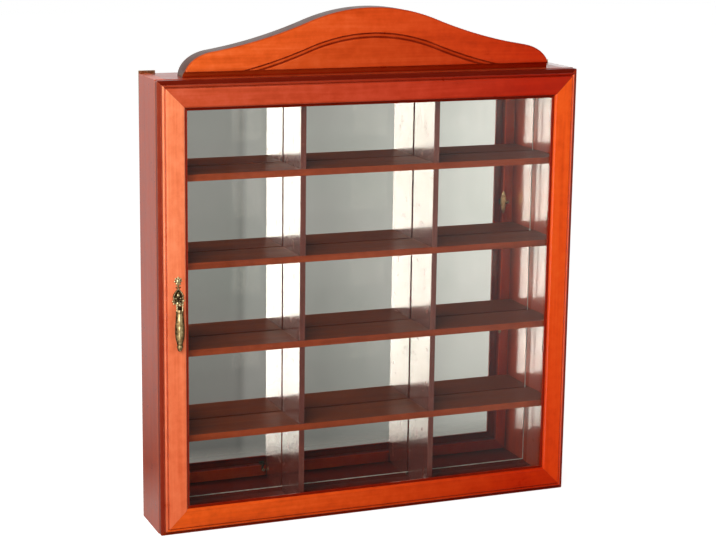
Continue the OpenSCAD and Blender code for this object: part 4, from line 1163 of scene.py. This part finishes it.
def make_world():
    """White behind the object, soft even light on it, and the room in mirrors and gloss."""
    world = bpy.data.worlds.new("studio")
    bpy.context.scene.world = world
    world.use_nodes = True
    tree = world.node_tree
    tree.nodes.clear()
    path = add(tree, "ShaderNodeLightPath").outputs
    soft = add(tree, "ShaderNodeBackground", {"Color": SOFT_COLOUR, "Strength": SOFT_STRENGTH})
    room = add(tree, "ShaderNodeBackground", {"Color": room_light(tree), "Strength": 1.0})
    white = add(tree, "ShaderNodeBackground", {"Color": (*WHITE, 1.0), "Strength": 1.0})
    shiny = maths(tree, "MAXIMUM", path["Is Glossy Ray"], path["Is Transmission Ray"])
    whole = blend(tree, path["Is Camera Ray"], blend(tree, shiny, soft, room), white)
    add(tree, "ShaderNodeOutputWorld", {"Surface": whole.outputs[0]})


def floor_paper():
    """Pale paper, unseen by gloss and mirrors away from the foot of the cabinet."""
    material, tree = new_tree("floor")
    path = add(tree, "ShaderNodeLightPath").outputs
    coords = object_coords(tree)
    paper = noise(tree, coords, 30.0, 3.0, 0.5)
    pale = ramp(tree, paper, [(0.3, (0.86, 0.86, 0.85)), (0.7, (0.88, 0.88, 0.87))])
    dimmed = mix(tree, path["Is Camera Ray"], (0.45, 0.45, 0.45), pale)
    lit = add(tree, "ShaderNodeBsdfDiffuse", {"Color": dimmed})
    lift = times(tree, path["Is Camera Ray"], 0.7)
    glow = add(tree, "ShaderNodeEmission", {"Color": (*WHITE, 1.0), "Strength": lift})
    shown = add(tree, "ShaderNodeAddShader", {0: lit.outputs[0], 1: glow.outputs[0]})
    depth = split(tree, coords)["Y"]
    away = maths(tree, "MAXIMUM", remap(tree, depth, -0.14, -0.24), remap(tree, depth, 0.05, 0.2))
    gone = times(tree, away, path["Is Glossy Ray"])
    nothing = add(tree, "ShaderNodeBsdfTransparent")
    whole = blend(tree, gone, shown, nothing)
    add(tree, "ShaderNodeOutputMaterial", {"Surface": whole.outputs[0]})
    return material


def make_floor():
    """A wide floor that keeps the soft shadow."""
    mesh = bpy.data.meshes.new("floor")
    corners = [(x * FLOOR_REACH, y * FLOOR_REACH, FOOT_Z - FLOOR_GAP)
               for x, y in ((-1, -1), (1, -1), (1, 1), (-1, 1))]
    mesh.from_pydata(corners, [], [(0, 1, 2, 3)])
    mesh.materials.append(floor_paper())
    floor = new_object("floor", mesh)


def make_lamp(name, place, aim, size, watts, colour=WHITE):
    """A soft square lamp that lights matt surfaces; gloss sees the room instead."""
    data = bpy.data.lights.new(name, "AREA")
    data.shape = "SQUARE"
    data.size = size
    data.energy = watts
    data.color = colour
    lamp = new_object(name, data)
    lamp.location = place
    lamp.rotation_euler = (Vector(aim) - Vector(place)).to_track_quat("-Z", "Y").to_euler()
    lamp.visible_glossy = lamp.visible_camera = False


def make_lamps():
    """A large soft lamp at the front left and a weak one at the right."""
    make_lamp("key", (-1.05, -1.15, 0.62), (-0.1, -0.05, -0.15), 0.9, 24.0, (1.0, 0.985, 0.96))
    make_lamp("fill", (1.2, -2.0, 0.3), (0.0, -0.05, -0.25), 1.6, 9.0)


# The whole


clear_scene()
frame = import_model()
bpy.context.scene.view_settings.view_transform = "Standard"
make_camera()
make_world()
make_floor()
make_lamps()
dress_nodes(frame["nodes"])
make_crest()
make_mirror()
make_backplate()
make_eye_bolt()
make_drop()
make_clips()
make_screws(frame["nodes"])
